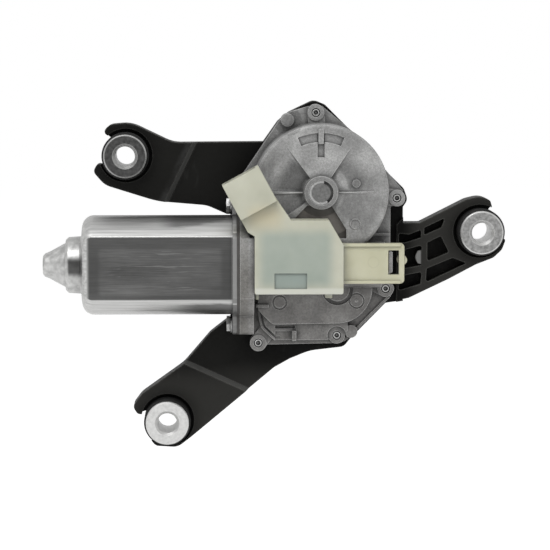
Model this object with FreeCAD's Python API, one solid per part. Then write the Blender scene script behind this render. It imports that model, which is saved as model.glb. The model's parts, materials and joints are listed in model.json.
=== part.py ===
import FreeCAD, Part
import math
import os

# Rear wiper motor: a worm gear motor with a crank and toothed sector that swing
# the output spindle, in a die-cast housing on a moulded three-armed carrier.
# X points right and Z up as seen from the cabin side, Y points away from the cabin.
# The origin is on the axis of the output spindle, in the mounting plane,
# where the far ends of the three mounting sleeves rest. Millimetres.

os.makedirs("parts", exist_ok=True)
V = FreeCAD.Vector

# Clearances
RUNNING = 0.05          # radial, shaft in its bush
LOOSE = 0.2             # radial, screw in its hole, rubber in its fork
APART = 0.3             # between bodies that must not touch

# Main axes
WHEEL_X, WHEEL_Z = -7.6, 42.2
MOTOR_Y, MOTOR_Z = -20.5, 10.8

# Worm and wheel
WHEEL_TEETH = 52
WHEEL_MODULE = 1.0
WHEEL_NEAR, WHEEL_FAR = -25.1, -16.1
WHEEL_PITCH_R = WHEEL_TEETH * WHEEL_MODULE / 2
WORM_PITCH_R = WHEEL_Z - MOTOR_Z - WHEEL_PITCH_R
WORM_ADDENDUM = 0.8
WORM_DEDENDUM = 1.05
WORM_LENGTH = 16.0
WORM_BACKLASH = 0.6
WHEEL_BACKLASH = 0.2
TRACK_OUTER_R, TRACK_INNER_R = 19.5, 10.5
TRACK_THICK = 0.5
AXLE_R = 4.0
AXLE_HEAD_R = 5.2

# Crank, rocker, sector and pinion
CRANK_R = 9.0
ARM_OVERLAP = 5.121     # how much longer the arm is than the way from wheel axle to spindle
SECTOR_MODULE = 1.25
PINION_TEETH = 17
SECTOR_TEETH = 17
SECTOR_NEAR, SECTOR_FAR = -13.6, -10.4
SECTOR_BACKLASH = 0.3
PINION_R = SECTOR_MODULE * PINION_TEETH / 2
SECTOR_R = SECTOR_MODULE * SECTOR_TEETH / 2
ROCKER_LENGTH = PINION_R + SECTOR_R
ROCKER_THICK = 1.2
PIN_R = 3.0

# Output spindle and its guide
SPINDLE_R = 5.0
SPINDLE_TIP = 40.0
THREAD_R = 3.9
THREAD_LENGTH = 11.0
KNURL_LENGTH = 6.0
GUIDE_END = 13.0
GUIDE_WALL = 1.5
BUSH_WALL = 1.45
BUSH_LENGTH = 7.0
GUIDE_R = SPINDLE_R + RUNNING + BUSH_WALL + GUIDE_WALL

# Cast gear housing
JOINT_Y = -8.6          # face between the casting and the carrier
FLANGE_THICK = 4.0
LEDGE_Y = -16.2
LOWER_Y = -20.2
DOME_Y = -29.0
DOME_R = 29.0
DOME_FLOOR_Y = -25.9
SECTOR_FLOOR_Y = -14.2
PINION_WALL_R = 14.8
BOSS_R = 7.1
BOSS_Y = -31.2
TUNNEL_R = 10.0
TUNNEL_END_X = 18.5
WORM_BORE_R = 6.9
EAR_R = 3.6
SCREW_R = 1.9
CAST_EAR_Y = -14.8
MOUTH_X = -42.1         # motor face of the casting
MOUTH_THICK = 6.0
FLAT_EXTRA = 1.5        # how far the flanges stand out beyond the can

EARS = [(-9.2, 75.6), (25.8, 38.8), (21.1, -0.4), (0.0, -20.7), (-34.0, -23.9)]
STUBS = [(-21.4, 72.4), (6.1, -18.9)]
STUB_R = 2.8

# Motor can
CAN_R = 21.3
CAN_FLAT = CAN_R - 4.5  # half the width across the flats
CAN_WALL = 1.5
CAN_REAR_X = -109.2
SHOULDER_R = 5.0
NECK_R = 12.3
NECK_X = -116.2
TIP_X = -126.0
TIP_R = 5.6
NOSE_SEAT_R = 6.8       # outside of the bearing in the nose of the can
NOSE_SEAT_DEPTH = 3.0
LIP_THICK = 1.8
PLATE_THICK = 1.3
CAN_EAR_R = 4.8
CAN_COLLAR_R = 4.0      # flange under the head of a can screw
CAN_SCREW_OUT = CAN_R + CAN_COLLAR_R + 0.1
FLAT_BLEND_R = 2.0
SHAFT_R = 4.0
FRONT_SEAT_R = 7.5      # outside of the bearing in the motor mouth
END_SEAT_R = 6.0        # outside of the bearing beyond the worm
END_SEAT_X = 7.5
END_SEAT_LENGTH = 6.0
THRUST_DISC_X, THRUST_DISC_END_X = 14.4, 16.0

# Armature
MAGNET_THICK = 0.263 * CAN_R
MAGNET_OPENING = 5.0    # half the gap between the two magnets
AIR_GAP = 0.8
MAGNET_INNER_R = CAN_R - CAN_WALL - MAGNET_THICK
CORE_R = MAGNET_INNER_R - AIR_GAP
CORE_REAR_X, CORE_FRONT_X = -98.0, -64.0
CORE_SLOTS = 8
COIL_HEAD_LENGTH = 5.0
COMMUTATOR_R = 0.597 * CORE_R
COMMUTATOR_X, COMMUTATOR_LENGTH = -57.5, 10.0
BRUSH_BOX_START = COMMUTATOR_R + 1.0
BRUSH_BOX_END = CAN_R - CAN_WALL - 2.3
BRUSH_SPRING_ROOM = 2.7
BRUSH_LENGTH = BRUSH_BOX_END - COMMUTATOR_R - APART - BRUSH_SPRING_ROOM

# Carrier
ARM_Y = -11.0           # near face of the arm ends
CARRIER_FAR = -1.0
HUB_PLATE = 3.5
SKIRT = 2.2
STEP_SLOPE = 1.7        # width of the sloped step on an arm
POCKET_R = 11.5
SCREW_SEAT_Y = -3.6     # under the heads of the housing screws
SCREW_HEAD_R = 3.6
FORK_NEAR, FORK_FAR = -6.0, -3.0
FORK_KEEP_R = 15.0
GUIDE_BOSS_R = 12.0

# Bushes and sleeves
BUSHES = [(-90.9, 57.1), (-73.4, -58.1), (62.1, 24.1)]
THROAT_DIRECTIONS = [168.0, 195.0, 15.0]
SLEEVE_END = -20.0
SLEEVE_R = 5.5
SLEEVE_BORE_R = 4.25
SLEEVE_FLANGE_R = 9.3
SLEEVE_FLANGE = 1.8
RUBBER_R = 10.1
RUBBER_FAR_R = 9.4
GROOVE_R = 7.0

# Connector housing
NYLON_BASE = -30.5
NYLON_TOP = -41.0
NYLON_WALL = 1.5
SOCKET_TOP = -45.0
SOCKET_BASE = -33.5
SOCKET_WALL = 1.5
TONGUE_BASE = -31.0
TONGUE_TOP = -33.6
TONGUE_RIM = 0.8

# Worked out from the driving sizes: where the crank, arm and rocker stand at rest.
# At rest the arm lies across the wheel axle, with the crank pin on the far side of it.
CENTRE_DISTANCE = math.hypot(WHEEL_X, WHEEL_Z)
CENTRE_ANGLE = math.degrees(math.atan2(WHEEL_Z, WHEEL_X))
ARM_LENGTH = CENTRE_DISTANCE + ARM_OVERLAP


def rocker_angle(reach):
    """Direction of the rocker pin from the spindle, with the pin this far from the wheel axle."""
    squares = CENTRE_DISTANCE ** 2 + ROCKER_LENGTH ** 2 - reach ** 2
    return CENTRE_ANGLE + math.degrees(math.acos(squares / (2 * CENTRE_DISTANCE * ROCKER_LENGTH)))


def polar(x, z, radius, angle):
    """The point at this radius and angle, in degrees, from (x, z)."""
    turn = math.radians(angle)
    return x + radius * math.cos(turn), z + radius * math.sin(turn)


def arm_angle(rocker):
    """Direction of the sector's arm when it points at the wheel axle."""
    x, z = polar(0, 0, ROCKER_LENGTH, rocker)
    return math.degrees(math.atan2(WHEEL_Z - z, WHEEL_X - x))


ROCKER_REST = rocker_angle(ARM_LENGTH - CRANK_R)
ROCKER_FAR = rocker_angle(ARM_LENGTH + CRANK_R)
ROCKER_PIN_X, ROCKER_PIN_Z = polar(0, 0, ROCKER_LENGTH, ROCKER_REST)
ARM_ANGLE = arm_angle(ROCKER_REST)
CRANK_X, CRANK_Z = polar(WHEEL_X, WHEEL_Z, CRANK_R, ARM_ANGLE)


# Shape helpers

def outline(corners):
    """A face in the plane Y = 0 from corners (x, z) or (x, z, radius) of a closed outline."""
    corners = [(c[0], c[1], c[2] if len(c) > 2 else 0) for c in corners]
    ends = []
    for index, (x, z, radius) in enumerate(corners):
        here = V(x, 0, z)
        before = V(corners[index - 1][0], 0, corners[index - 1][1]) - here
        after = V(corners[(index + 1) % len(corners)][0], 0, corners[(index + 1) % len(corners)][1]) - here
        if radius == 0:
            ends.append((here, None, here))
            continue
        half = before.getAngle(after) / 2
        start = here + before.normalize() * (radius / math.tan(half))
        stop = here + after.normalize() * (radius / math.tan(half))
        inward = (before + after).normalize()
        middle = here + inward * (radius / math.sin(half) - radius)
        ends.append((start, middle, stop))
    edges = []
    for index, (start, middle, stop) in enumerate(ends):
        if middle is not None:
            edges.append(Part.Arc(start, middle, stop).toShape())
        following = ends[(index + 1) % len(ends)][0]
        if (following - stop).Length > 1e-6:
            edges.append(Part.LineSegment(stop, following).toShape())
    return Part.Face(Part.Wire(edges))


def prism(corners, near, far):
    """A plate with this outline between two levels of Y."""
    face = outline(corners)
    face.translate(V(0, near, 0))
    return face.extrude(V(0, far - near, 0))


def disc(x, z, radius, near, far):
    """A cylinder along Y."""
    return Part.makeCylinder(radius, far - near, V(x, near, z), V(0, 1, 0))


def ring(x, z, outer, inner, near, far):
    return disc(x, z, outer, near, far).cut(disc(x, z, inner, near, far))


def rod(radius, start, end):
    """A cylinder along the motor axis."""
    return Part.makeCylinder(radius, end - start, V(start, MOTOR_Y, MOTOR_Z), V(1, 0, 0))


def turned_on_y(profile, x, z):
    """A solid turned about a line along Y through (x, z), from (radius, y) points."""
    points = [V(x + radius, y, z) for radius, y in profile]
    face = Part.Face(Part.makePolygon(points + points[:1]))
    return face.revolve(V(x, 0, z), V(0, 1, 0), 360)


def turned_on_motor(profile):
    """A solid turned about the motor axis, from (x, radius) points or (x, radius, fillet)."""
    flat = outline([(p[0], p[1]) + tuple(p[2:]) for p in profile])
    flat.translate(V(0, MOTOR_Y, MOTOR_Z))
    return flat.revolve(V(0, MOTOR_Y, MOTOR_Z), V(1, 0, 0), 360)


def bar(x0, x1, near, far, z0, z1):
    """A block between two corners."""
    return Part.makeBox(x1 - x0, far - near, z1 - z0, V(x0, near, z0))


def joined(shapes):
    result = shapes[0].fuse(shapes[1:]) if len(shapes) > 1 else shapes[0]
    return result.removeSplitter()


def turned_copy(shape, x, z, angle):
    """The shape turned in the XZ plane about (x, z), counted from X towards Z."""
    result = shape.copy()
    result.rotate(V(x, 0, z), V(0, -1, 0), angle)
    return result


def around_motor(shape, angle):
    result = shape.copy()
    result.rotate(V(0, MOTOR_Y, MOTOR_Z), V(1, 0, 0), angle)
    return result


def tooth_flank(teeth, module, addendum, backlash, pressure, steps):
    """Points (radius, half angle) of one tooth flank, from its base to its tip."""
    pitch_r = teeth * module / 2
    base_r = pitch_r * math.cos(math.radians(pressure))
    tip_r = pitch_r + addendum
    half_at_pitch = math.pi / (2 * teeth) - backlash / (4 * pitch_r)

    def involute(radius):
        angle = math.acos(min(1.0, base_r / radius))
        return math.tan(angle) - angle

    points = []
    for step in range(steps + 1):
        radius = base_r + (tip_r - base_r) * step / steps
        half = half_at_pitch + involute(pitch_r) - involute(radius)
        points.append((radius, math.degrees(half)))
    return points


def gear_points(x, z, teeth, module, addendum, dedendum, backlash, first_angle, steps, chosen=None):
    """Corner points of a toothed outline, with one tooth centred on first_angle."""
    flank = tooth_flank(teeth, module, addendum, backlash, 25.0, steps)
    root_r = teeth * module / 2 - dedendum
    if flank[0][0] < root_r:
        flank[0] = (root_r, flank[0][1])
    points = []
    for tooth in range(teeth) if chosen is None else chosen:
        centre = first_angle + tooth * 360 / teeth
        if flank[0][0] > root_r:
            points.append(polar(x, z, root_r, centre - flank[0][1]))
        for radius, half in flank:
            points.append(polar(x, z, radius, centre - half))
        for radius, half in reversed(flank):
            points.append(polar(x, z, radius, centre + half))
        if flank[0][0] > root_r:
            points.append(polar(x, z, root_r, centre + flank[0][1]))
    return points


# Outlines that several pieces share

FLANGE = [(-36.2, -20.8), (-31.0, -24.9), (2.0, -24.3, 3.6), (5.6, -21.9), (23.4, -4.0), (23.2, 4.0),
          (23.2, 34.5), (28.8, 41.8), (20.9, 51.0), (15.3, 60.0), (6.0, 68.0), (-6.4, 78.3),
          (-12.4, 78.2), (-20.3, 75.9, 3.6), (-25.1, 71.9, 3.4), (-42.1, 47.0), (-42.1, 33.0),
          (-36.2, 33.0)]

HUB = [(-35.8, -14.0), (-35.8, 31.6), (-46.5, 31.6), (-38.5, 53.0), (-31.8, 62.6), (-25.4, 71.7, 3.4),
       (-20.5, 75.7, 3.4), (-9.8, 80.8, 4.6), (-5.0, 78.8, 2.0), (5.6, 68.2), (14.4, 59.6), (20.4, 51.2),
       (29.2, 42.6, 3.5), (31.0, 37.6, 3.5), (28.9, 34.6, 1.5), (28.9, -6.2), (21.5, -7.3),
       (5.9, -23.2, 2.5), (3.4, -26.4, 4.0), (-11.6, -28.1, 20.0), (-20.2, -31.6), (-35.8, -31.6)]

UPPER_ARM = [(-25.0, 62.9), (-70.5, 62.6, 14.0), (-88.5, 71.2, 14.0), (-98.2, 70.4, 5.0),
             (-100.4, 67.0, 1.6), (-97.2, 64.6, 0.7), (-99.8, 53.4, 0.7), (-103.2, 53.4, 1.6),
             (-105.0, 50.2, 2.4), (-100.0, 44.4, 9.0), (-77.0, 37.2, 45.0), (-56.0, 35.4, 12.0),
             (-47.4, 31.6), (-36.0, 31.6), (-25.0, 45.0)]

LOWER_ARM = [(-20.0, -31.5), (-27.0, -35.4, 8.0), (-62.8, -65.2, 9.0), (-69.0, -70.0, 6.0),
             (-78.6, -69.4, 3.0), (-80.8, -66.8, 0.9), (-78.8, -64.2, 0.7), (-82.6, -55.6, 0.7),
             (-86.4, -55.4, 1.8), (-88.6, -52.0, 2.6), (-84.6, -46.6, 9.0), (-66.2, -33.5, 16.0),
             (-54.6, -20.0, 9.0), (-45.8, -13.2), (-35.0, -13.2), (-20.0, -20.0)]

RIGHT_ARM = [(20.0, 27.8), (36.2, 27.8, 2.0), (56.0, 37.8, 8.0), (62.5, 39.4, 8.0), (66.6, 37.4, 1.6),
             (67.4, 34.6, 1.0), (65.6, 32.4, 0.7), (71.4, 22.6, 0.7), (73.4, 20.2, 1.4), (71.8, 16.0, 4.0),
             (68.2, 12.6, 4.0), (60.5, 9.6), (48.6, 3.3), (31.4, -4.9, 3.0), (24.9, -6.2), (15.0, -6.2)]

ARM_CELLS = [
    [(38.0, 25.6, 0.8), (47.0, 29.9, 0.5), (45.4, 25.8, 0.8), (38.0, 22.5, 0.5)],
    [(27.0, 23.2, 0.8), (31.4, 22.7), (36.6, 24.7, 0.5), (36.6, 21.4, 0.5), (29.5, 19.2, 0.8),
     (27.0, 19.2, 0.5)],
    [(39.4, 19.2, 0.8), (45.2, 22.0, 0.8), (48.7, 15.0, 0.8), (39.4, 11.1, 0.8)],
    [(28.6, 15.8, 0.8), (36.9, 18.0, 0.8), (36.9, 9.4, 0.8), (28.6, 7.9, 0.8)],
    [(39.2, 7.9, 0.8), (50.4, 12.5, 0.8), (56.4, 10.2, 0.4), (38.8, 1.9, 0.8)],
    [(27.0, 4.4, 0.8), (36.9, 6.4, 0.8), (36.5, 1.2, 0.8), (27.0, -1.6, 0.8)],
]
ARM_LUG = [(36.9, 9.9), (36.9, 15.9), (35.4, 15.9, 1.2), (33.9, 12.9, 2.0), (35.4, 9.9, 1.2)]

LEDGE = [(-34.2, -10.0), (-33.0, -17.0, 6.0), (-27.0, -22.6), (0.8, -22.4, 3.0), (4.6, -18.6, 1.5),
         (4.6, -12.0), (15.0, 0.0), (20.6, 3.0, 2.0), (20.6, 20.0), (-34.2, 20.0)]
EAR_ROOTS = [(-8.4, 66.0), (14.0, 40.0), (14.0, 3.0), (-2.0, -12.0), (-28.0, -16.0)]

NYLON_BODY = [(-36.0, 25.4, 0.8), (-36.0, 0.1, 0.8), (1.4, 0.1, 0.8), (1.4, 20.8, 0.5),
              (-4.7, 31.3, 0.5), (-20.6, 31.3, 0.5), (-24.0, 30.4)]
SOCKET_MOUTH_A = (-49.6, 46.1)
SOCKET_MOUTH_B = (-34.5, 54.3)
SOCKET_DEPTH = 16.5
NECK_DEPTH = 23.5
NECK_ROOM = 2.0         # how much further the casting is cut away for the neck


def socket_point(along, into):
    """A point measured along the socket's mouth from its left corner, and into the socket."""
    width = math.dist(SOCKET_MOUTH_A, SOCKET_MOUTH_B)
    ux = (SOCKET_MOUTH_B[0] - SOCKET_MOUTH_A[0]) / width
    uz = (SOCKET_MOUTH_B[1] - SOCKET_MOUTH_A[1]) / width
    return SOCKET_MOUTH_A[0] + ux * along + uz * into, SOCKET_MOUTH_A[1] + uz * along - ux * into


SOCKET_WIDTH = math.dist(SOCKET_MOUTH_A, SOCKET_MOUTH_B)


def socket_prism(left, right, start, end, near, far):
    """A block in the slanted frame of the plug socket."""
    corners = [socket_point(left, start), socket_point(right, start),
               socket_point(right, end), socket_point(left, end)]
    return prism(corners, near, far)


# Gear housing

def double_d(radius, flat, start, end):
    """A round bar about the motor axis with two flats, near and far."""
    block = bar(start, end, MOTOR_Y - flat, MOTOR_Y + flat, MOTOR_Z - radius, MOTOR_Z + radius)
    return rod(radius, start, end).common(block)


def motor_flange(start, end):
    """The outline of the can's flange: a double D with an ear above and below."""
    pieces = [double_d(CAN_R + 1.0, CAN_FLAT + FLAT_EXTRA, start, end)]
    for side in (1, -1):
        ear_z = MOTOR_Z + side * CAN_SCREW_OUT
        pieces.append(Part.makeCylinder(CAN_EAR_R, end - start, V(start, MOTOR_Y, ear_z), V(1, 0, 0)))
        low = min(ear_z, MOTOR_Z)
        pieces.append(bar(start, end, MOTOR_Y - CAN_EAR_R, MOTOR_Y + CAN_EAR_R, low, low + CAN_SCREW_OUT))
    return joined(pieces)


def sector_of_disc(x, z, outer, inner, from_angle, to_angle, near, far):
    """A sector of a ring, from one angle to another."""
    middle = (from_angle + to_angle) / 2
    corners = [V(*point, 0) for point in (polar(x, z, outer, from_angle), polar(x, z, outer, middle),
                                          polar(x, z, outer, to_angle), polar(x, z, inner, to_angle),
                                          polar(x, z, inner, middle), polar(x, z, inner, from_angle))]
    flat = [V(c.x, near, c.y) for c in corners]
    edges = [Part.Arc(flat[0], flat[1], flat[2]).toShape(), Part.LineSegment(flat[2], flat[3]).toShape(),
             Part.Arc(flat[3], flat[4], flat[5]).toShape(), Part.LineSegment(flat[5], flat[0]).toShape()]
    return Part.Face(Part.Wire(edges)).extrude(V(0, far - near, 0))


def beam(x0, z0, x1, z1, half, near, far):
    """A straight bar between two points of the XZ plane, this wide to each side."""
    turn = math.degrees(math.atan2(z1 - z0, x1 - x0))
    block = bar(x0, x0 + math.hypot(x1 - x0, z1 - z0), near, far, z0 - half, z0 + half)
    return turned_copy(block, x0, z0, turn)


def band(corners, outer_inset, inner_inset, near, far):
    """A strip along an outline, between two distances inside it."""
    plate = outline(corners)
    shapes = [plate.makeOffset2D(-inset) if inset else plate for inset in (outer_inset, inner_inset)]
    for shape in shapes:
        shape.translate(V(0, near, 0))
    return shapes[0].extrude(V(0, far - near, 0)).cut(shapes[1].extrude(V(0, far - near, 0)))


def fading_pocket(x, z, from_angle, to_angle, inner, outer, depth):
    """A relief of the dome face between two radii that is deepest at the inner one and fades outwards."""
    profile = [V(x + inner, DOME_Y - 1, z), V(x + outer, DOME_Y - 1, z), V(x + outer, DOME_Y, z),
               V(x + inner + 1.0, DOME_Y + depth, z), V(x + inner, DOME_Y + depth, z)]
    sweep = Part.Face(Part.makePolygon(profile + profile[:1])).revolve(V(x, 0, z), V(0, -1, 0),
                                                                      to_angle - from_angle)
    return turned_copy(sweep, x, z, from_angle)


def gear_housing():
    flange_near = JOINT_Y - FLANGE_THICK
    solids = [prism(FLANGE, flange_near, JOINT_Y)]
    for (x, z), (root_x, root_z) in zip(EARS, EAR_ROOTS):
        solids.append(disc(x, z, EAR_R, CAST_EAR_Y, JOINT_Y))
        solids.append(beam(x, z, root_x, root_z, EAR_R, CAST_EAR_Y + 0.6, JOINT_Y))
    for x, z in STUBS:
        solids.append(disc(x, z, STUB_R, CAST_EAR_Y - 0.8, JOINT_Y))
    # wheel dome with a rounded rim
    solids.append(turned_on_y([(0, JOINT_Y), (DOME_R, JOINT_Y), (DOME_R, DOME_Y + 1.2),
                               (DOME_R - 0.35, DOME_Y + 0.35), (DOME_R - 1.2, DOME_Y), (0, DOME_Y)],
                              WHEEL_X, WHEEL_Z))
    # ledge and raised cover over the sector and the pinion, with a raised rim at the lower right
    solids.append(prism(LEDGE, LEDGE_Y, JOINT_Y))
    solids.append(disc(0, 0, PINION_WALL_R + 0.6, LEDGE_Y, JOINT_Y))
    rim_side = prism([(3.0, -19.0), (3.0, -30.0), (40.0, -30.0), (40.0, -1.0), (20.0, -1.0)], -20, 0)
    solids.append(band(FLANGE, 0.0, 1.2, flange_near - 0.9, JOINT_Y).common(rim_side))
    raised = [(-34.2, 12.0), (-34.2, -9.0, 3.0), (-28.0, -15.2, 3.0), (0.0, -PINION_WALL_R), (8.0, 0.0),
              (8.0, 12.0)]
    solids.append(prism(raised, LOWER_Y, LEDGE_Y))
    solids.append(disc(0, 0, PINION_WALL_R, LOWER_Y, LEDGE_Y))
    # worm tunnel and motor mouth
    solids.append(rod(TUNNEL_R, MOUTH_X, TUNNEL_END_X))
    solids.append(motor_flange(MOUTH_X, MOUTH_X + MOUTH_THICK))
    body = joined(solids)

    # relief of the dome face: fading pockets between thin ribs, a shallow arc and a slot above the boss
    boss_edge = BOSS_R + 0.4
    relief = []
    for from_angle, to_angle, outer, depth in ((127.0, 178.8, 24.0, 2.0), (1.2, 56.0, 23.0, 1.8),
                                               (182.0, 214.0, 24.0, 1.9), (303.0, 358.5, 24.0, 0.7)):
        relief.append(fading_pocket(WHEEL_X, WHEEL_Z, from_angle, to_angle, boss_edge, outer, depth))
    relief.append(sector_of_disc(WHEEL_X, WHEEL_Z, 25.2, 21.4, 67.0, 113.0, DOME_Y - 1, DOME_Y + 0.9))
    relief.append(bar(WHEEL_X - 1.5, WHEEL_X + 1.5, DOME_Y - 1, DOME_Y + 1.2,
                      WHEEL_Z + 14.9, WHEEL_Z + 24.6))
    # window for the park contacts, below the axle boss
    window = [(-18.8, 31.2), (-13.4, 36.7), (-3.0, 36.5), (3.2, 26.4), (3.2, 22.6), (-18.8, 22.6)]
    relief.append(prism(window, DOME_Y - 1, DOME_FLOOR_Y + 1))
    # slot and box pocket at the bottom edge
    relief.append(bar(-26.7, -18.2, LEDGE_Y - 1, LEDGE_Y + 1.3, -17.4, -16.0))
    relief.append(bar(-26.7, -19.4, LEDGE_Y - 1, LEDGE_Y + 1.0, -26.0, -18.6))
    # groove inside the lower left corner of the ledge
    corner = prism([(-40.0, -9.0), (-30.5, -9.0), (-24.5, -19.0), (-24.5, -30.0), (-40.0, -30.0)], -20, 0)
    relief.append(band(LEDGE, 0.9, 1.9, LEDGE_Y - 1, LEDGE_Y + 1.2).common(corner))
    # ring groove over the spindle end, ring mark and shallow dish to its left and right
    relief.append(ring(0, 0, 6.8, 5.2, LOWER_Y - 1, LOWER_Y + 1.2))
    relief.append(ring(-24.9, -5.6, 3.2, 2.5, LOWER_Y - 1, LOWER_Y + 0.4))
    relief.append(ring(8.2, -5.0, 3.4, 2.8, LOWER_Y - 1, LOWER_Y + 0.4))
    # round recess in the ledge that frees the ear at the bottom
    bottom_x, bottom_z = EARS[3]
    relief.append(disc(bottom_x, bottom_z, EAR_R + 0.5, LEDGE_Y - 1, CAST_EAR_Y))
    body = body.cut(relief)

    # cavities
    cavity = [disc(WHEEL_X, WHEEL_Z, WHEEL_PITCH_R + WORM_ADDENDUM + 0.5, DOME_FLOOR_Y, JOINT_Y)]
    cavity.append(disc(0, 0, PINION_R + SECTOR_MODULE + 0.7, SECTOR_FLOOR_Y, JOINT_Y))
    arm_room = [(-30.0, -21.0, 4.0), (-3.7, -21.0), (-3.7, 24.0), (-30.0, 24.0)]
    cavity.append(prism(arm_room, SECTOR_FLOOR_Y, JOINT_Y))
    cavity.append(rod(WORM_BORE_R, MOUTH_X + MOUTH_THICK, END_SEAT_X))
    cavity.append(rod(FRONT_SEAT_R, MOUTH_X - 1, MOUTH_X + MOUTH_THICK))
    cavity.append(rod(END_SEAT_R, END_SEAT_X - 0.1, THRUST_DISC_END_X))
    cavity.append(disc(0, 0, SPINDLE_R + RUNNING, SECTOR_FLOOR_Y - 3.6, SECTOR_FLOOR_Y))
    body = body.cut(cavity)

    # axle boss, ribs, marks and the lug in the tongue's slot
    extras = [disc(WHEEL_X, WHEEL_Z, BOSS_R, BOSS_Y, DOME_FLOOR_Y)]
    extras.append(bar(WHEEL_X - 1.1, WHEEL_X + 1.1, DOME_Y - 0.4, DOME_Y + 1.5,
                      WHEEL_Z + 20.6, WHEEL_Z + 27.0))
    extras.append(disc(WHEEL_X + 15.0, WHEEL_Z + 3.8, 1.7, DOME_Y - 0.2, DOME_FLOOR_Y))
    extras.append(ring(WHEEL_X + 14.6, WHEEL_Z - 13.4, 2.3, 1.9, DOME_Y - 0.1, DOME_Y + 1.5))
    extras.append(bar(-35.0, -29.6, LOWER_Y - 1.2, LOWER_Y + 1, -7.7, -6.4))
    extras.append(bar(-19.4, -17.7, LOWER_Y + 0.5, LEDGE_Y + 1, -22.4, -18.0))
    extras.append(disc(8.2, -5.0, 0.7, LOWER_Y - 0.3, LOWER_Y + 1))
    extras.append(bar(15.5, 22.6, LEDGE_Y - 0.6, JOINT_Y - 1, 22.8, 23.9))
    extras.append(prism([(19.4, 8.4), (22.6, 8.4, 0.6), (22.6, 17.4, 0.6), (19.4, 17.4)],
                        TONGUE_BASE + APART, JOINT_Y))
    extras.append(prism([(21.1, 8.4), (22.6, 8.4, 0.6), (22.6, 17.4, 0.6), (21.1, 17.4)],
                        TONGUE_TOP + 0.5, TONGUE_BASE + 1))
    body = joined([body] + extras)
    holes = [disc(WHEEL_X, WHEEL_Z, AXLE_R, BOSS_Y - 1, DOME_FLOOR_Y + 1),
             ring(WHEEL_X, WHEEL_Z, 5.2, AXLE_R - 1, BOSS_Y - 1, BOSS_Y + 1.4)]
    for x, z in EARS:
        holes.append(disc(x, z, SCREW_R, CAST_EAR_Y - 1, JOINT_Y + 1))
    for side in (1, -1):
        start = V(MOUTH_X - 1, MOTOR_Y, MOTOR_Z + side * CAN_SCREW_OUT)
        holes.append(Part.makeCylinder(SCREW_R, MOUTH_THICK + 2, start, V(1, 0, 0)))
    body = body.cut(holes)
    # room for the connector housing where it passes the motor flange
    far_end = NECK_DEPTH + NECK_ROOM
    room = socket_prism(-APART, SOCKET_WIDTH + APART, 0, far_end, SOCKET_TOP - 1, SOCKET_BASE + APART)
    return body.cut(room)


# Motor can and what it holds

def motor_can():
    front = MOUTH_X - PLATE_THICK
    drum = turned_on_motor([(front, 0), (front, CAN_R), (CAN_REAR_X, CAN_R, SHOULDER_R), (CAN_REAR_X, 0)])
    flats = double_d(CAN_R, CAN_FLAT, CAN_REAR_X, front)
    along = [edge for edge in flats.Edges if edge.BoundBox.XLength > 1.0]
    flats = flats.makeFillet(FLAT_BLEND_R, along)
    # the flats run out in a rounded edge at the closed end
    side_view = outline([(front, -CAN_FLAT), (front, CAN_FLAT), (CAN_REAR_X, CAN_FLAT, SHOULDER_R - 1),
                         (CAN_REAR_X, -CAN_FLAT, SHOULDER_R - 1)])
    side_view.rotate(V(0, 0, 0), V(1, 0, 0), 90)
    side_view.translate(V(0, MOTOR_Y, MOTOR_Z - CAN_R - 1))
    body = drum.common(flats).common(side_view.extrude(V(0, 0, 2 * CAN_R + 2)))
    root = CAN_REAR_X + 2
    nose = turned_on_motor([(root, 0), (root, NECK_R + 0.8), (CAN_REAR_X, NECK_R + 0.8),
                            (CAN_REAR_X - 0.8, NECK_R), (NECK_X + 1.2, NECK_R - 0.3),
                            (NECK_X, NECK_R - 1.4), (NECK_X, NECK_R - 2.8), (NECK_X - 1.0, NECK_R - 3.2),
                            (TIP_X + 3.2, TIP_R + 0.4), (TIP_X + 0.8, TIP_R - 0.6), (TIP_X, TIP_R - 1.6),
                            (TIP_X, 0)])
    body = joined([body, nose, motor_flange(front - LIP_THICK, front)])
    wall = CAN_WALL
    room = double_d(CAN_R - wall, CAN_FLAT - wall, CAN_REAR_X + wall + 1.0, front + 1)
    neck_room = rod(NECK_R - wall, NECK_X + wall, CAN_REAR_X + wall + 2)
    seat = rod(NOSE_SEAT_R, NECK_X - NOSE_SEAT_DEPTH, NECK_X + wall + 1)
    tip_room = rod(SHAFT_R + 0.4, TIP_X + 3.0, NECK_X)
    body = body.cut([room, neck_room, seat, tip_room])
    holes = []
    for side in (1, -1):
        start = V(front - LIP_THICK - 1, MOTOR_Y, MOTOR_Z + side * CAN_SCREW_OUT)
        holes.append(Part.makeCylinder(SCREW_R + LOOSE, LIP_THICK + 2, start, V(1, 0, 0)))
    return body.cut(holes)


def tube_on_motor(outer, inner, start, end):
    return rod(outer, start, end).cut(rod(inner, start, end))


def field_magnets():
    """Two arc magnets, above and below the armature."""
    outer = CAN_R - CAN_WALL
    shell = tube_on_motor(outer, MAGNET_INNER_R, CORE_REAR_X - 3, CORE_FRONT_X + 3)
    half = CAN_FLAT - CAN_WALL - APART
    pieces = []
    for side in (1, -1):
        low = MOTOR_Z + (0 if side > 0 else -outer)
        block = bar(CORE_REAR_X - 3, CORE_FRONT_X + 3, MOTOR_Y - half, MOTOR_Y + half, low, low + outer)
        near_middle = bar(CORE_REAR_X - 4, CORE_FRONT_X + 4, MOTOR_Y - CAN_R, MOTOR_Y + CAN_R,
                          MOTOR_Z - MAGNET_OPENING, MOTOR_Z + MAGNET_OPENING)
        pieces.append(shell.common(block).cut(near_middle))
    return Part.makeCompound(pieces)


def nose_bearing():
    return tube_on_motor(NOSE_SEAT_R, SHAFT_R + RUNNING, NECK_X - NOSE_SEAT_DEPTH, NECK_X + 4.0)


def front_bearing():
    return tube_on_motor(FRONT_SEAT_R, SHAFT_R + RUNNING, MOUTH_X, MOUTH_X + MOUTH_THICK)


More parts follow.
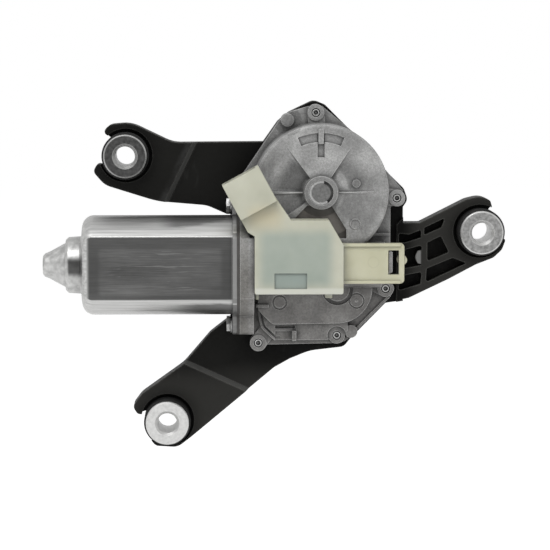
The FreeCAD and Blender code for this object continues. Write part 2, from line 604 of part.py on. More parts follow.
def end_bearing():
    return tube_on_motor(END_SEAT_R, SHAFT_R + RUNNING, END_SEAT_X, END_SEAT_X + END_SEAT_LENGTH)


def thrust_disc():
    return rod(END_SEAT_R, THRUST_DISC_X, THRUST_DISC_END_X)


def brush_plate():
    """Moulded plate between the can's lip and the casting, with two brush boxes on its motor side."""
    start, end = MOUTH_X - PLATE_THICK, MOUTH_X
    plate = motor_flange(start, end)
    pieces = [plate]
    for side in (1, -1):
        low = MOTOR_Z + (BRUSH_BOX_START if side > 0 else -BRUSH_BOX_END)
        pieces.append(bar(COMMUTATOR_X + 1, start + 0.5, MOTOR_Y - 4.0, MOTOR_Y + 4.0,
                          low, low + BRUSH_BOX_END - BRUSH_BOX_START))
    plate = joined(pieces)
    cuts = [rod(COMMUTATOR_R + 0.6, start - 1, end + 1)]
    for side in (1, -1):
        low = MOTOR_Z + (COMMUTATOR_R if side > 0 else -BRUSH_BOX_END - 1)
        cuts.append(bar(COMMUTATOR_X + 2.5, start - 3.5, MOTOR_Y - 2.6, MOTOR_Y + 2.6,
                        low, low + BRUSH_BOX_END + 1 - COMMUTATOR_R))
        begin = V(start - 1, MOTOR_Y, MOTOR_Z + side * CAN_SCREW_OUT)
        cuts.append(Part.makeCylinder(SCREW_R + LOOSE, PLATE_THICK + 2, begin, V(1, 0, 0)))
    return plate.cut(cuts)


def brushes():
    pieces = []
    for side in (1, -1):
        low = MOTOR_Z + (COMMUTATOR_R + APART if side > 0 else -COMMUTATOR_R - APART - BRUSH_LENGTH)
        pieces.append(bar(COMMUTATOR_X + 2.7, MOUTH_X - PLATE_THICK - 3.7, MOTOR_Y - 2.4, MOTOR_Y + 2.4,
                          low, low + BRUSH_LENGTH))
    return Part.makeCompound(pieces)


def brush_springs():
    """A bent leaf behind each brush."""
    start = COMMUTATOR_X + 3.0
    pieces = []
    for side in (1, -1):
        inner = MOTOR_Z + side * (COMMUTATOR_R + APART + BRUSH_LENGTH)
        outer = MOTOR_Z + side * (BRUSH_BOX_END - APART)
        leaf = [(start, inner), (start + 6.0, inner), (start + 6.0, outer), (start, outer)]
        middle = [(start + 0.8, inner + side * 0.4), (start + 7.0, inner + side * 0.4),
                  (start + 7.0, outer - side * 0.4), (start + 0.8, outer - side * 0.4)]
        slot = prism(middle, MOTOR_Y - 3.0, MOTOR_Y + 3.0)
        pieces.append(prism(leaf, MOTOR_Y - 2.0, MOTOR_Y + 2.0).cut(slot))
    return Part.makeCompound(pieces)


# Armature

def armature_shaft():
    """Shaft with the worm cut on it: a trapezoid thread swept along a helix."""
    pitch = math.pi * WHEEL_MODULE
    root = WORM_PITCH_R - WORM_DEDENDUM
    tip = WORM_PITCH_R + WORM_ADDENDUM
    start = WHEEL_X - WORM_LENGTH / 2
    half_pitch_width = (pitch / 2 - WORM_BACKLASH) / 2
    slope = math.tan(math.radians(20))
    half_root = half_pitch_width + (WORM_DEDENDUM + 0.3) * slope
    half_tip = half_pitch_width - WORM_ADDENDUM * slope
    path = Part.makeHelix(pitch, WORM_LENGTH, WORM_PITCH_R)
    corners = [V(root - 0.3, 0, -half_root), V(tip, 0, -half_tip), V(tip, 0, half_tip),
               V(root - 0.3, 0, half_root)]
    section = Part.makePolygon(corners + corners[:1])
    thread = Part.Wire(path).makePipeShell([section], True, True)
    # from the Z axis to the motor axis, then turned so that a crest meets a gap of the wheel
    thread.rotate(V(0, 0, 0), V(1, 1, 1), 120)
    thread.translate(V(start, MOTOR_Y, MOTOR_Z))
    thread = around_motor(thread, 360 * ((start + pitch / 4 - WHEEL_X) / pitch))
    core = rod(root, start - 1.5, start + WORM_LENGTH + 1.5)
    shaft = rod(SHAFT_R, NECK_X - 2.6, THRUST_DISC_X - APART)
    return joined([core.fuse(thread), shaft])


def armature_core():
    body = tube_on_motor(CORE_R, SHAFT_R, CORE_REAR_X, CORE_FRONT_X)
    slots = []
    for index in range(CORE_SLOTS):
        neck = bar(CORE_REAR_X - 1, CORE_FRONT_X + 1, MOTOR_Y - 0.9, MOTOR_Y + 0.9,
                   MOTOR_Z + CORE_R - 5.4, MOTOR_Z + CORE_R + 1)
        slots.append(around_motor(neck, index * 360 / CORE_SLOTS))
    return body.cut(slots)


def armature_windings():
    """The coil heads at both ends of the core."""
    heads = []
    for start, length in ((CORE_REAR_X, -COIL_HEAD_LENGTH), (CORE_FRONT_X, COIL_HEAD_LENGTH)):
        end = start + length
        heads.append(turned_on_motor([(start, SHAFT_R), (start, CORE_R - 1.0), (end, CORE_R - 2.4),
                                      (end, SHAFT_R + 1.0)]))
    return Part.makeCompound(heads)


def commutator():
    body = tube_on_motor(COMMUTATOR_R, SHAFT_R, COMMUTATOR_X, COMMUTATOR_X + COMMUTATOR_LENGTH)
    slits = []
    for index in range(CORE_SLOTS):
        slit = bar(COMMUTATOR_X - 1, COMMUTATOR_X + COMMUTATOR_LENGTH + 1, MOTOR_Y - 0.25, MOTOR_Y + 0.25,
                   MOTOR_Z + COMMUTATOR_R - 0.8, MOTOR_Z + COMMUTATOR_R + 1)
        slits.append(around_motor(slit, (index + 0.5) * 360 / CORE_SLOTS))
    return body.cut(slits)


# Worm wheel

def worm_wheel():
    """Helical teeth as a ruled loft between the two faces, a web, a hub and a seat for the crank pin."""
    lead = math.pi * WHEEL_MODULE / (2 * math.pi * WORM_PITCH_R)
    wires = []
    for level in (WHEEL_NEAR, WHEEL_FAR):
        twist = -math.degrees((level - MOTOR_Y) * lead / WHEEL_PITCH_R)
        points = gear_points(WHEEL_X, WHEEL_Z, WHEEL_TEETH, WHEEL_MODULE, WORM_ADDENDUM, WORM_DEDENDUM,
                             WHEEL_BACKLASH, -90 + 180 / WHEEL_TEETH + twist, 1)
        corners = [V(x, level, z) for x, z in points]
        wires.append(Part.makePolygon(corners + corners[:1]))
    body = Part.makeLoft(wires, True, True)
    rim_r = WHEEL_PITCH_R - 3.4
    cuts = [disc(WHEEL_X, WHEEL_Z, AXLE_R + RUNNING, WHEEL_NEAR - 1, WHEEL_FAR + 1),
            disc(WHEEL_X, WHEEL_Z, AXLE_HEAD_R + APART, WHEEL_FAR - 1.6, WHEEL_FAR + 1),
            ring(WHEEL_X, WHEEL_Z, rim_r, CRANK_R + PIN_R + 2.0, WHEEL_FAR - 3.0, WHEEL_FAR + 1),
            ring(WHEEL_X, WHEEL_Z, TRACK_OUTER_R, TRACK_INNER_R, WHEEL_NEAR - 1, WHEEL_NEAR + TRACK_THICK)]
    body = body.cut(cuts)
    return body.cut(disc(CRANK_X, CRANK_Z, PIN_R + APART, WHEEL_FAR - 2.5, WHEEL_FAR + 1))


def contact_disc():
    """Park contact track: a flat ring with a gap, set in the near face of the wheel."""
    track = ring(WHEEL_X, WHEEL_Z, TRACK_OUTER_R, TRACK_INNER_R, WHEEL_NEAR, WHEEL_NEAR + TRACK_THICK)
    gap = sector_of_disc(WHEEL_X, WHEEL_Z, 16.0, 13.0, 60.0, 100.0, WHEEL_NEAR - 1, WHEEL_NEAR + 1)
    return track.cut(gap)


def wheel_axle():
    head_far = WHEEL_FAR - APART
    shank = disc(WHEEL_X, WHEEL_Z, AXLE_R, BOSS_Y - 0.2, head_far)
    head = disc(WHEEL_X, WHEEL_Z, AXLE_HEAD_R, head_far - 1.2, head_far)
    groove = ring(WHEEL_X, WHEEL_Z, AXLE_R + 1, AXLE_R - 0.5, BOSS_Y + 0.4, BOSS_Y + 1.2)
    return joined([shank, head]).cut(groove)


def axle_clip():
    """Open spring ring in the groove of the wheel axle."""
    clip = ring(WHEEL_X, WHEEL_Z, 5.1, AXLE_R - 0.5, BOSS_Y + 0.4, BOSS_Y + 1.2)
    mouth = sector_of_disc(WHEEL_X, WHEEL_Z, 6.5, 1.0, -55.0, 75.0, BOSS_Y - 1, BOSS_Y + 3)
    return clip.cut(mouth)


# Crank pin, sector, rocker and pinion

def sector_gear():
    """Arm with an eye for the crank pin at one end and a toothed sector at the other."""
    near, far = SECTOR_NEAR, SECTOR_FAR
    x, z = ROCKER_PIN_X, ROCKER_PIN_Z
    to_spindle = ROCKER_REST + 180
    chosen = [-1, 0, 1, 2]
    points = gear_points(x, z, SECTOR_TEETH, SECTOR_MODULE, SECTOR_MODULE * 0.8, SECTOR_MODULE * 1.15,
                         SECTOR_BACKLASH, to_spindle, 4, chosen)
    fan = prism([(x, z)] + points, near, far)
    side = ARM_ANGLE + 90
    arm = [polar(x, z, 4.2, side), polar(x, z, 4.2, side + 180), polar(CRANK_X, CRANK_Z, 3.6, side + 180),
           polar(CRANK_X, CRANK_Z, 3.6, side)]
    hub = disc(x, z, 6.4, near, far)
    eye = disc(CRANK_X, CRANK_Z, PIN_R + 2.2, near, far)
    # room beside the arm for the pinion's teeth at the far end of the stroke
    last_mesh = ROCKER_FAR + 180 - (arm_angle(ROCKER_FAR) - ARM_ANGLE)
    pinion_x, pinion_z = polar(x, z, ROCKER_LENGTH, last_mesh)
    pinion_room = disc(pinion_x, pinion_z, PINION_R + SECTOR_MODULE * 0.8 + APART, near, far)
    body = joined([fan, prism(arm, near, far).cut(pinion_room), hub, eye])
    pivot_hole = disc(x, z, PIN_R + RUNNING, near - 1, far + 1)
    return body.cut([pivot_hole, disc(CRANK_X, CRANK_Z, PIN_R, near - 1, far + 1)])


def crank_pin():
    """Stands in the eye of the sector's arm and ends short of the wheel, where the loop is open."""
    return disc(CRANK_X, CRANK_Z, PIN_R, WHEEL_FAR + APART, SECTOR_FAR)


def rocker_link():
    far = JOINT_Y - APART
    near = far - ROCKER_THICK
    x, z = ROCKER_PIN_X, ROCKER_PIN_Z
    side = ROCKER_REST + 90
    bridge = [polar(0, 0, 5.0, side), polar(0, 0, 5.0, side + 180), polar(x, z, 4.0, side + 180),
              polar(x, z, 4.0, side)]
    body = joined([disc(0, 0, 7.6, near, far), disc(x, z, 5.2, near, far), prism(bridge, near, far)])
    spindle_hole = disc(0, 0, SPINDLE_R + RUNNING, near - 1, far + 1)
    return body.cut([spindle_hole, disc(x, z, PIN_R, near - 1, far + 1)])


def rocker_pin():
    return disc(ROCKER_PIN_X, ROCKER_PIN_Z, PIN_R, SECTOR_NEAR - 0.2, JOINT_Y - APART)


def output_pinion():
    gap_at = ROCKER_REST + 180 / PINION_TEETH
    points = gear_points(0, 0, PINION_TEETH, SECTOR_MODULE, SECTOR_MODULE * 0.8, SECTOR_MODULE * 1.15,
                         SECTOR_BACKLASH, gap_at, 4)
    bore = disc(0, 0, SPINDLE_R, SECTOR_NEAR - 1, SECTOR_FAR + 1)
    return prism(points, SECTOR_NEAR, SECTOR_FAR).cut(bore)


# Output spindle and guide

def output_spindle():
    """Plain shaft, taper that takes the wiper arm, and threaded end."""
    knurl_start = SPINDLE_TIP - THREAD_LENGTH - KNURL_LENGTH
    thread_start = SPINDLE_TIP - THREAD_LENGTH
    foot = SECTOR_FLOOR_Y - 3.4
    profile = [(0, foot), (SPINDLE_R - 0.4, foot), (SPINDLE_R, foot + 0.4), (SPINDLE_R, knurl_start),
               (THREAD_R + 0.3, thread_start), (THREAD_R, thread_start + 0.1),
               (THREAD_R, SPINDLE_TIP - 0.8), (THREAD_R - 0.8, SPINDLE_TIP), (0, SPINDLE_TIP)]
    shaft = turned_on_y(profile, 0, 0)
    return shaft.cut(ring(0, 0, SPINDLE_R + 1, SPINDLE_R - 0.4, GUIDE_END + 1.3, GUIDE_END + 2.1))


def spindle_guide():
    inner = GUIDE_R - GUIDE_WALL
    return turned_on_y([(inner, JOINT_Y), (GUIDE_R, JOINT_Y), (GUIDE_R, GUIDE_END - 1.0),
                        (GUIDE_R - 1.0, GUIDE_END), (inner, GUIDE_END)], 0, 0)


def spindle_bushes():
    inner = SPINDLE_R + RUNNING
    outer = inner + BUSH_WALL
    low = ring(0, 0, outer, inner, JOINT_Y, JOINT_Y + BUSH_LENGTH)
    high = ring(0, 0, outer, inner, GUIDE_END - BUSH_LENGTH, GUIDE_END)
    return Part.makeCompound([low, high])


def spindle_seal():
    """Rubber sleeve on the guide with two sealing beads towards the tailgate."""
    foot, top = 1.0, GUIDE_END - 1.8
    profile = [(GUIDE_R, foot), (GUIDE_R + 5.5, foot), (GUIDE_R + 5.5, foot + 2.0),
               (GUIDE_R + 2.4, foot + 3.0), (GUIDE_R + 2.4, foot + 5.0), (GUIDE_R + 3.6, foot + 5.6),
               (GUIDE_R + 3.6, foot + 6.6), (GUIDE_R + 2.0, top - 2.6), (GUIDE_R + 2.0, top - 0.8),
               (GUIDE_R, top)]
    return turned_on_y(profile, 0, 0)


def spindle_washer():
    return ring(0, 0, GUIDE_R - 0.6, SPINDLE_R + 0.1, GUIDE_END + APART, GUIDE_END + 1.2)


def spindle_circlip():
    clip = ring(0, 0, SPINDLE_R + 1.8, SPINDLE_R - 0.4, GUIDE_END + 1.3, GUIDE_END + 2.1)
    return clip.cut(sector_of_disc(0, 0, 9.0, 1.0, 60.0, 120.0, GUIDE_END, GUIDE_END + 3))


# Carrier

def carrier_solid(near, far):
    """Hub and three arms as one plate between two levels of Y."""
    return joined([prism(corners, near, far) for corners in (HUB, UPPER_ARM, LOWER_ARM, RIGHT_ARM)])


def shrunk_carrier(near, far, inset):
    """The carrier's outline set in on all sides, between two levels of Y."""
    plate = carrier_solid(near, far)
    face = max((f for f in plate.Faces if abs(f.BoundBox.YMax - near) < 0.001), key=lambda f: f.Area)
    return face.makeOffset2D(-inset).extrude(V(0, far - near, 0))


def lowered_zone():
    """What is taken off the near side so that the arm ends stand proud, with a sloped step."""
    upper_step = [(x, z, -0.90, 0.43) for x, z in [(-47.1, 90.0), (-73.0, 36.2)]]
    lower_step = [(x, z, -0.42, -0.91) for x, z in [(-66.5, -31.4), (-20.0, -52.7)]]
    rest = [(x, z, 0, 0) for x, z in [(26.0, -30.0), (26.0, 27.0), (38.0, 40.0), (20.0, 90.0)]]
    wires = []
    for level, grow in ((ARM_Y, STEP_SLOPE), (JOINT_Y, 0.0)):
        corners = []
        for x, z, out_x, out_z in upper_step + lower_step + rest:
            corners.append(V(x + grow * out_x, level, z + grow * out_z))
        wires.append(Part.makePolygon(corners + corners[:1]))
    return Part.makeLoft(wires, True, True)


def fork_cuts(x, z, direction):
    """Pocket on both sides of the fork's floor, and the slot that takes the rubber's groove."""
    cuts = [disc(x, z, POCKET_R, ARM_Y - 1, FORK_NEAR), disc(x, z, POCKET_R, FORK_FAR, CARRIER_FAR + 1)]
    cuts.append(disc(x, z, GROOVE_R + LOOSE, FORK_NEAR - 1, FORK_FAR + 1))
    half = GROOVE_R - 1.2
    slot = bar(x, x + 30, FORK_NEAR - 1, FORK_FAR + 1, z - half, z + half)
    cuts.append(turned_copy(slot, x, z, direction))
    return cuts


def carrier():
    body = carrier_solid(ARM_Y, CARRIER_FAR)
    hollow = shrunk_carrier(JOINT_Y + HUB_PLATE, 20, SKIRT)
    keep = [disc(x, z, FORK_KEEP_R, JOINT_Y, 20) for x, z in BUSHES]
    keep.append(prism(RIGHT_ARM, JOINT_Y, 20).cut(bar(0, 25.0, JOINT_Y - 1, 21, -20, 50)))
    hollow = hollow.cut(keep)
    body = body.cut(hollow)
    ribs = [disc(0, 0, GUIDE_BOSS_R, JOINT_Y + 1, 0)]
    for angle in (20, 75, 130, 165, 215, 250, 300):
        web = bar(GUIDE_BOSS_R - 1, 80.0, JOINT_Y + 1, CARRIER_FAR - 2, -0.8, 0.8)
        ribs.append(turned_copy(web, 0, 0, angle))
    for x, z in EARS:
        ribs.append(disc(x, z, SCREW_HEAD_R + 1.0, JOINT_Y + 1, SCREW_SEAT_Y))
    pockets = [disc(x, z, POCKET_R, JOINT_Y - 2, 20) for x, z in BUSHES]
    inside = carrier_solid(JOINT_Y + 0.5, 20).cut(pockets)
    body = joined([body, Part.makeCompound(ribs).common(inside)])
    cuts = [lowered_zone()]
    for (x, z), direction in zip(BUSHES, THROAT_DIRECTIONS):
        cuts += fork_cuts(x, z, direction)
    lug = prism(ARM_LUG, ARM_Y, ARM_Y + 7)
    for corners in ARM_CELLS:
        cuts.append(prism(corners, ARM_Y - 1, ARM_Y + 6.5).cut(lug))
    cuts.append(disc(0, 0, GUIDE_R, JOINT_Y - 1, 1))
    for x, z in EARS:
        cuts.append(disc(x, z, SCREW_R + LOOSE, JOINT_Y - 1, 1))
        cuts.append(disc(x, z, SCREW_HEAD_R + APART, SCREW_SEAT_Y, 1))
    return body.cut(cuts)


# Fasteners

def housing_screws():
    """Five screws from the far side, with their tips showing in the ears of the casting."""
    pieces = []
    for x, z in EARS:
        tip_y = CAST_EAR_Y + 0.3
        shank = turned_on_y([(0, SCREW_SEAT_Y), (SCREW_R, SCREW_SEAT_Y), (SCREW_R, tip_y + 0.4),
                             (SCREW_R - 0.4, tip_y), (1.0, tip_y), (0.8, tip_y + 0.8),
                             (0, tip_y + 0.8)], x, z)
        head = disc(x, z, SCREW_HEAD_R, SCREW_SEAT_Y, SCREW_SEAT_Y + 2.4)
        head = head.cut(disc(x, z, 1.6, SCREW_SEAT_Y + 1.0, SCREW_SEAT_Y + 3))
        pieces.append(joined([shank, head]))
    return Part.makeCompound(pieces)


def can_screws():
    """Two screws through the can's flange ears into the casting."""
    head_x = MOUTH_X - PLATE_THICK - LIP_THICK
    pieces = []
    for side in (1, -1):
        z = MOTOR_Z + side * CAN_SCREW_OUT
        length = MOUTH_THICK + PLATE_THICK + LIP_THICK - 0.5
        shank = Part.makeCylinder(SCREW_R, length, V(head_x, MOTOR_Y, z), V(1, 0, 0))
        collar = Part.makeCylinder(CAN_COLLAR_R, 0.8, V(head_x - 0.8, MOTOR_Y, z), V(1, 0, 0))
        across = CAN_COLLAR_R - 0.4
        hexagon = [V(head_x - 0.8, MOTOR_Y + across * math.cos(math.radians(60 * k)),
                     z + across * math.sin(math.radians(60 * k))) for k in range(6)]
        head = Part.Face(Part.makePolygon(hexagon + hexagon[:1])).extrude(V(-1.7, 0, 0))
        pieces.append(joined([shank, collar, head]))
    return Part.makeCompound(pieces)


def mount_sleeve(x, z):
    chamfer = 0.5
    profile = [(SLEEVE_BORE_R, 0), (SLEEVE_R, 0), (SLEEVE_R, SLEEVE_END + SLEEVE_FLANGE),
               (SLEEVE_FLANGE_R, SLEEVE_END + SLEEVE_FLANGE), (SLEEVE_FLANGE_R, SLEEVE_END + chamfer),
               (SLEEVE_FLANGE_R - chamfer, SLEEVE_END), (SLEEVE_BORE_R + 1.1, SLEEVE_END),
               (SLEEVE_BORE_R, SLEEVE_END + 1.1)]
    return turned_on_y(profile, x, z)


def bush_rubber(x, z):
    near = SLEEVE_END + SLEEVE_FLANGE
    profile = [(SLEEVE_R, -0.6), (RUBBER_FAR_R, -0.6), (RUBBER_FAR_R, FORK_FAR), (GROOVE_R, FORK_FAR),
               (GROOVE_R, FORK_NEAR), (RUBBER_R, FORK_NEAR), (RUBBER_R, near + 0.8), (RUBBER_R - 0.8, near),
               (SLEEVE_R, near)]
    return turned_on_y(profile, x, z)


# Connector housing

def connector_housing():
    """Nylon body over the worm tunnel, slanted plug socket and the tongue that hooks over a lug."""
    neck = [socket_point(0, SOCKET_DEPTH - 1), socket_point(SOCKET_WIDTH, SOCKET_DEPTH - 1), (-20.6, 31.3),
            (-4.0, 20.0), (-36.0, 20.0), (-36.0, 24.6), socket_point(0, NECK_DEPTH - 1)]
    pieces = [prism(NYLON_BODY, NYLON_TOP, NYLON_BASE), prism(neck, NYLON_TOP, SOCKET_BASE)]
    pieces.append(socket_prism(0, SOCKET_WIDTH, 0, SOCKET_DEPTH, SOCKET_TOP, SOCKET_BASE))
    body = joined(pieces)
    cuts = [prism([(-34.7, 24.0), (-34.5, 1.6), (-0.1, 1.6), (-0.1, 20.4), (-5.6, 29.8), (-22.0, 29.8)],
                  NYLON_TOP + NYLON_WALL, NYLON_BASE + 1)]
    wall = SOCKET_WALL
    cuts.append(socket_prism(wall, SOCKET_WIDTH - wall, -1, SOCKET_DEPTH - 2.0,
                             SOCKET_TOP + wall, SOCKET_BASE - wall))
    cuts.append(bar(-27.6, -14.0, NYLON_TOP - 1, NYLON_TOP + 0.7, 2.4, 8.9))
    body = body.cut(cuts)
    # tongue: left end inside the body, raised rims above and below, end wall and round nub
    left, right, low, high = 0.4, 27.6, 3.8, 20.9
    rim = 1.3
    plate = [(left, low), (right, low, 1.7), (right, high, 1.7), (left, high)]
    tongue = prism(plate, TONGUE_TOP, TONGUE_BASE)
    rim_low = bar(left, right - 1.6, TONGUE_TOP - TONGUE_RIM, TONGUE_BASE, low, low + rim)
    rim_high = bar(left, right - 1.6, TONGUE_TOP - TONGUE_RIM, TONGUE_BASE, high - rim, high)
    end_wall = bar(right - 1.4, right, TONGUE_BASE - 1, TONGUE_BASE + 4.0, low + 1.6, high - 1.6)
    nub = disc(right - 0.9, 13.7, 2.1, TONGUE_TOP + 0.6, TONGUE_BASE + 3.0)
    hook = bar(-6.0, -3.1, NYLON_TOP + 4, NYLON_BASE, -1.9, 0.6)
    peg = bar(-35.5, -34.2, NYLON_TOP + 5, NYLON_BASE, -2.6, 0.6)
    body = joined([body, tongue, rim_low, rim_high, end_wall, nub, hook, peg])
    return body.cut(bar(20.8, 25.3, TONGUE_TOP - 2, TONGUE_BASE + 1, 7.6, 17.9))


def contact_springs():
    """Three strips that reach through the window of the dome to the wheel's contact track."""
    pieces = []
    thick, half_width = 0.5, 0.9
    foot_y, tip_y = NYLON_BASE - 4.0, WHEEL_NEAR - APART
    low = 26.6
    for x in (WHEEL_X - 9.2, WHEEL_X - 4.6, WHEEL_X):
        left, right = x - half_width, x + half_width
        stem = bar(left, right, foot_y, tip_y, low, low + thick)
        finger = bar(left, right, tip_y - thick, tip_y, low, low + 3.0)
        foot = bar(left, right, foot_y, foot_y + thick, low, low + 3.2)
        pieces.append(joined([stem, finger, foot]))
    return Part.makeCompound(pieces)


def socket_terminals():
    """Four flat pins in the plug socket."""
    pieces = []
    pitch = SOCKET_WIDTH / 5
    middle = (SOCKET_TOP + SOCKET_BASE) / 2
    for index in range(4):
        at = pitch * (index + 1)
        pieces.append(socket_prism(at - 0.5, at + 0.5, 6.0, SOCKET_DEPTH - 2.0, middle - 0.5, middle + 0.5))
    return Part.makeCompound(pieces)


PIECES = {
    "gear_housing": gear_housing,
    "carrier": carrier,
    "motor_can": motor_can,
    "field_magnets": field_magnets,
    "nose_bearing": nose_bearing,
    "front_bearing": front_bearing,
    "end_bearing": end_bearing,
    "thrust_disc": thrust_disc,
    "brush_plate": brush_plate,
    "brushes": brushes,
    "brush_springs": brush_springs,
    "armature_shaft": armature_shaft,
    "armature_core": armature_core,
    "armature_windings": armature_windings,
    "commutator": commutator,
    "worm_wheel": worm_wheel,
    "contact_disc": contact_disc,
    "wheel_axle": wheel_axle,
    "axle_clip": axle_clip,
    "sector_gear": sector_gear,
    "crank_pin": crank_pin,
    "rocker_link": rocker_link,
    "rocker_pin": rocker_pin,
    "output_pinion": output_pinion,
    "output_spindle": output_spindle,
    "spindle_guide": spindle_guide,
    "spindle_bushes": spindle_bushes,
    "spindle_seal": spindle_seal,
    "spindle_washer": spindle_washer,
    "spindle_circlip": spindle_circlip,
    "housing_screws": housing_screws,
    "can_screws": can_screws,
    "connector_housing": connector_housing,
    "contact_springs": contact_springs,
    "socket_terminals": socket_terminals,
}

for name, make in PIECES.items():
    make().exportStep("parts/" + name + ".step")

for side_name, (bush_x, bush_z) in zip(("upper", "lower", "right"), BUSHES):
    mount_sleeve(bush_x, bush_z).exportStep("parts/mount_sleeve_" + side_name + ".step")
    bush_rubber(bush_x, bush_z).exportStep("parts/bush_rubber_" + side_name + ".step")
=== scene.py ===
import json
import math

import bmesh
import bpy
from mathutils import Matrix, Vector


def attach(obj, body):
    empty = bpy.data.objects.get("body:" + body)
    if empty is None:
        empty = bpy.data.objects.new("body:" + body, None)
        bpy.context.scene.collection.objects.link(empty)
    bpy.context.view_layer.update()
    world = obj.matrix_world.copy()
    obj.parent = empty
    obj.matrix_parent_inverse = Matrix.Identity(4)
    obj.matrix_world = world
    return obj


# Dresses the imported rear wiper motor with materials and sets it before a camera
# at the angle of the reference photograph. Metres, in the frame of the model:
# X right and Z up as seen from the cabin side, Y away from the viewer.

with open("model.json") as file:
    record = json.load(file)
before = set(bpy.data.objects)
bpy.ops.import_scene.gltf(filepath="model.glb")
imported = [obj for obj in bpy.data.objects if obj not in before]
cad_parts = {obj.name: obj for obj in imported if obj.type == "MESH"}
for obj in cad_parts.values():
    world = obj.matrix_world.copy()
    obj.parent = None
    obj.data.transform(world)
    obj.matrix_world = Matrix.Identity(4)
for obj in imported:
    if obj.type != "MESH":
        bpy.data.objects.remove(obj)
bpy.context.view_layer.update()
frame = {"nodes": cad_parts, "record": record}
cad = frame["nodes"]
MM = 0.001

# The camera stands a metre away, a little above and to the left of the object's middle
CAMERA_AZIMUTH = -1.56
CAMERA_ELEVATION = 5.89
CAMERA_DISTANCE = 1.0
CAMERA_TARGET = Vector((-26.74, -15.0, 5.67)) * MM
CAMERA_CLIP_START = 0.05
PIXELS_ACROSS = 550
FOCAL_PIXELS = 2318.2
SENSOR_WIDTH = 36.0

# Stage
FLOOR_SIZE = 8.0
FLOOR_Z = -0.22
FLOOR_TONE = 0.9
FLOOR_GLOW = 0.62       # added for the camera, so that the floor just reaches white
WORLD_LEVEL = 0.42      # of the world as a light

# Soft boxes that face one point: place, width, height and power in watts
LAMP_AIM = (-0.02, -0.01, 0.01)
LAMPS = {
    "key": ((-0.30, -0.70, 0.95), 0.9, 0.5, 7.5),
    "fill": ((0.75, -0.85, 0.25), 0.7, 0.7, 2.2),
    "low": ((-0.3, -0.7, -0.19), 0.8, 0.25, 0.8),
}

# Places on the object that materials and the thread refer to, all in millimetres.
# A border is the pair of levels between which something comes in, from nothing to whole.
# A block is left, right, low and high in the XZ plane.

# Casting
# Painted shade: the casting's tone is darker towards the bottom
SHADED_LOWER_TO_LIT_UPPER = (2.0, 26.0)        # the tone is warmer and darker below
FLANGE_BORDER = (-38.0, -39.0)
PIN_X, PIN_Z = -21.4, 72.3
PIN_BORDER = (6.4, 5.8)
WHEEL_X, WHEEL_Z = -7.6, 42.2       # the middle of the dome
AXLE_BORDER = (7.6, 6.9)
# Painted shade in the dome's pockets, and a lighter band beside the boss: angle from and to, radius from and
# to, level, strength
DOME_SHADE_SECTORS = (
    (2.25, 3.10, 8.0, 19.0, 0.05, 0.8),
    (0.10, 0.96, 12.0, 19.0, 0.11, 0.65),
    (-3.05, -2.55, 8.0, 18.0, 0.07, 0.6),
    (-0.80, -0.05, 10.0, 27.0, 0.14, 0.65),
    (0.25, 0.85, 8.2, 10.6, 0.55, 0.5),
)
SECTOR_OUTER_FADE, SECTOR_INNER_FADE = 0.05, 0.08       # of the angles
RING_NEAR_FADE, RING_FAR_FADE = 0.8, 3.5                # of the radii

# Carrier
LEFT_ARMS_BORDER = (-33.0, -58.0)
RIGHT_ARM_BORDER = (28.0, 36.0)
LOWER_ARM_BORDER = (-30.0, -44.0)
NUB = (34.4, 36.6, 10.0, 15.8)
NUB_FRONT_BORDER = (-9.4, -10.4)
# The painted highlight band beside the upper arm's step, measured along a line across the step
ACROSS_STEP_X, ACROSS_STEP_Z = -0.90, 0.43
HIGHLIGHT_BAND_START_BORDER, HIGHLIGHT_BAND_END_BORDER = (80.0, 83.4), (86.2, 84.0)

# Motor can
MOTOR_Y = -20.5
CAN_FLAT = 16.8                     # from the motor's axis
DRUM_BORDER = (-109.6, -108.0)      # between the nose and the drum
# Painted dark reflection on the neck
NECK_X, NECK_Z = (-114.9, -109.0), (7.2, 14.8)
# Painted dark reflections on the crown and belly
HIGH_REFLECTION_X, HIGH_REFLECTION_Z = (-78.5, -68.0), (27.0, 28.6)
REFLECTION_SLOPE_START, REFLECTION_SLOPE = 74.0, -0.07
LOW_REFLECTION_X, LOW_REFLECTION_Z = (-76.0, -58.0), (-3.2, -4.8)
REFLECTION_WANDER = 1.2
CROWN_BORDER = (26.6, 29.0)
SCRATCHED = (-98, -58, 0, 20)
INSIDE_FLAT = (-101.5, -50.0, -0.6, 19.0)
FLAT_REAR_BORDER, FLAT_FRONT_BORDER = (-105.4, -106.6), (-45.9, -45.3)

# Nylon housing
NYLON_BODY = (-33.6, -3.6, 3.4, 26.6)
NYLON_BEND = (-38.0, -25.0, 28.5, 37.0)
NYLON_LIP = (-40.0, 6.0, -1.0, 2.6)
NYLON_WINDOW = (-27.6, -14.0, 2.4, 8.9)
TONGUE_BORDER = (1.0, 4.0)
GATE_X, GATE_Z = 14.5, 12.9
GATE_OUT_BORDER, GATE_IN_BORDER = (1.9, 2.2), (2.7, 2.4)

# Sleeves: axis at x and z, dark and light tone, tone of the painted highlight on rim and bore, roughness from
# and to
SLEEVES = {
    "upper": (-90.9, 57.1, 0.028, 0.070, 0.40, 0.36, 0.5),
    "right": (62.1, 24.1, 0.13, 0.31, 0.55, 0.34, 0.48),
    "lower": (-73.4, -58.1, 0.42, 0.56, 0.56, 0.42, 0.55),
}
RIM_BORDER, BORE_BORDER = (8.55, 8.95), (5.6, 5.2)
RING_WAVE = 16.0                    # radians to a millimetre

# Spindle
THREAD_START, THREAD_END = 29.3, 39.2
THREAD_ROOT_R, THREAD_CREST_R = 3.85, 4.2
THREAD_PITCH = 1.25
THREAD_STEPS = 36                   # to a turn
# Radius and place along the axis, once round the ridge
THREAD_PROFILE = ((THREAD_ROOT_R, 0.0), (THREAD_CREST_R, 0.5), (THREAD_CREST_R, 0.65), (THREAD_ROOT_R, 1.15))
TAPER_START, TAPER_END = 23.0, 29.0
TAPER_RIDGES = 36.0


# Materials

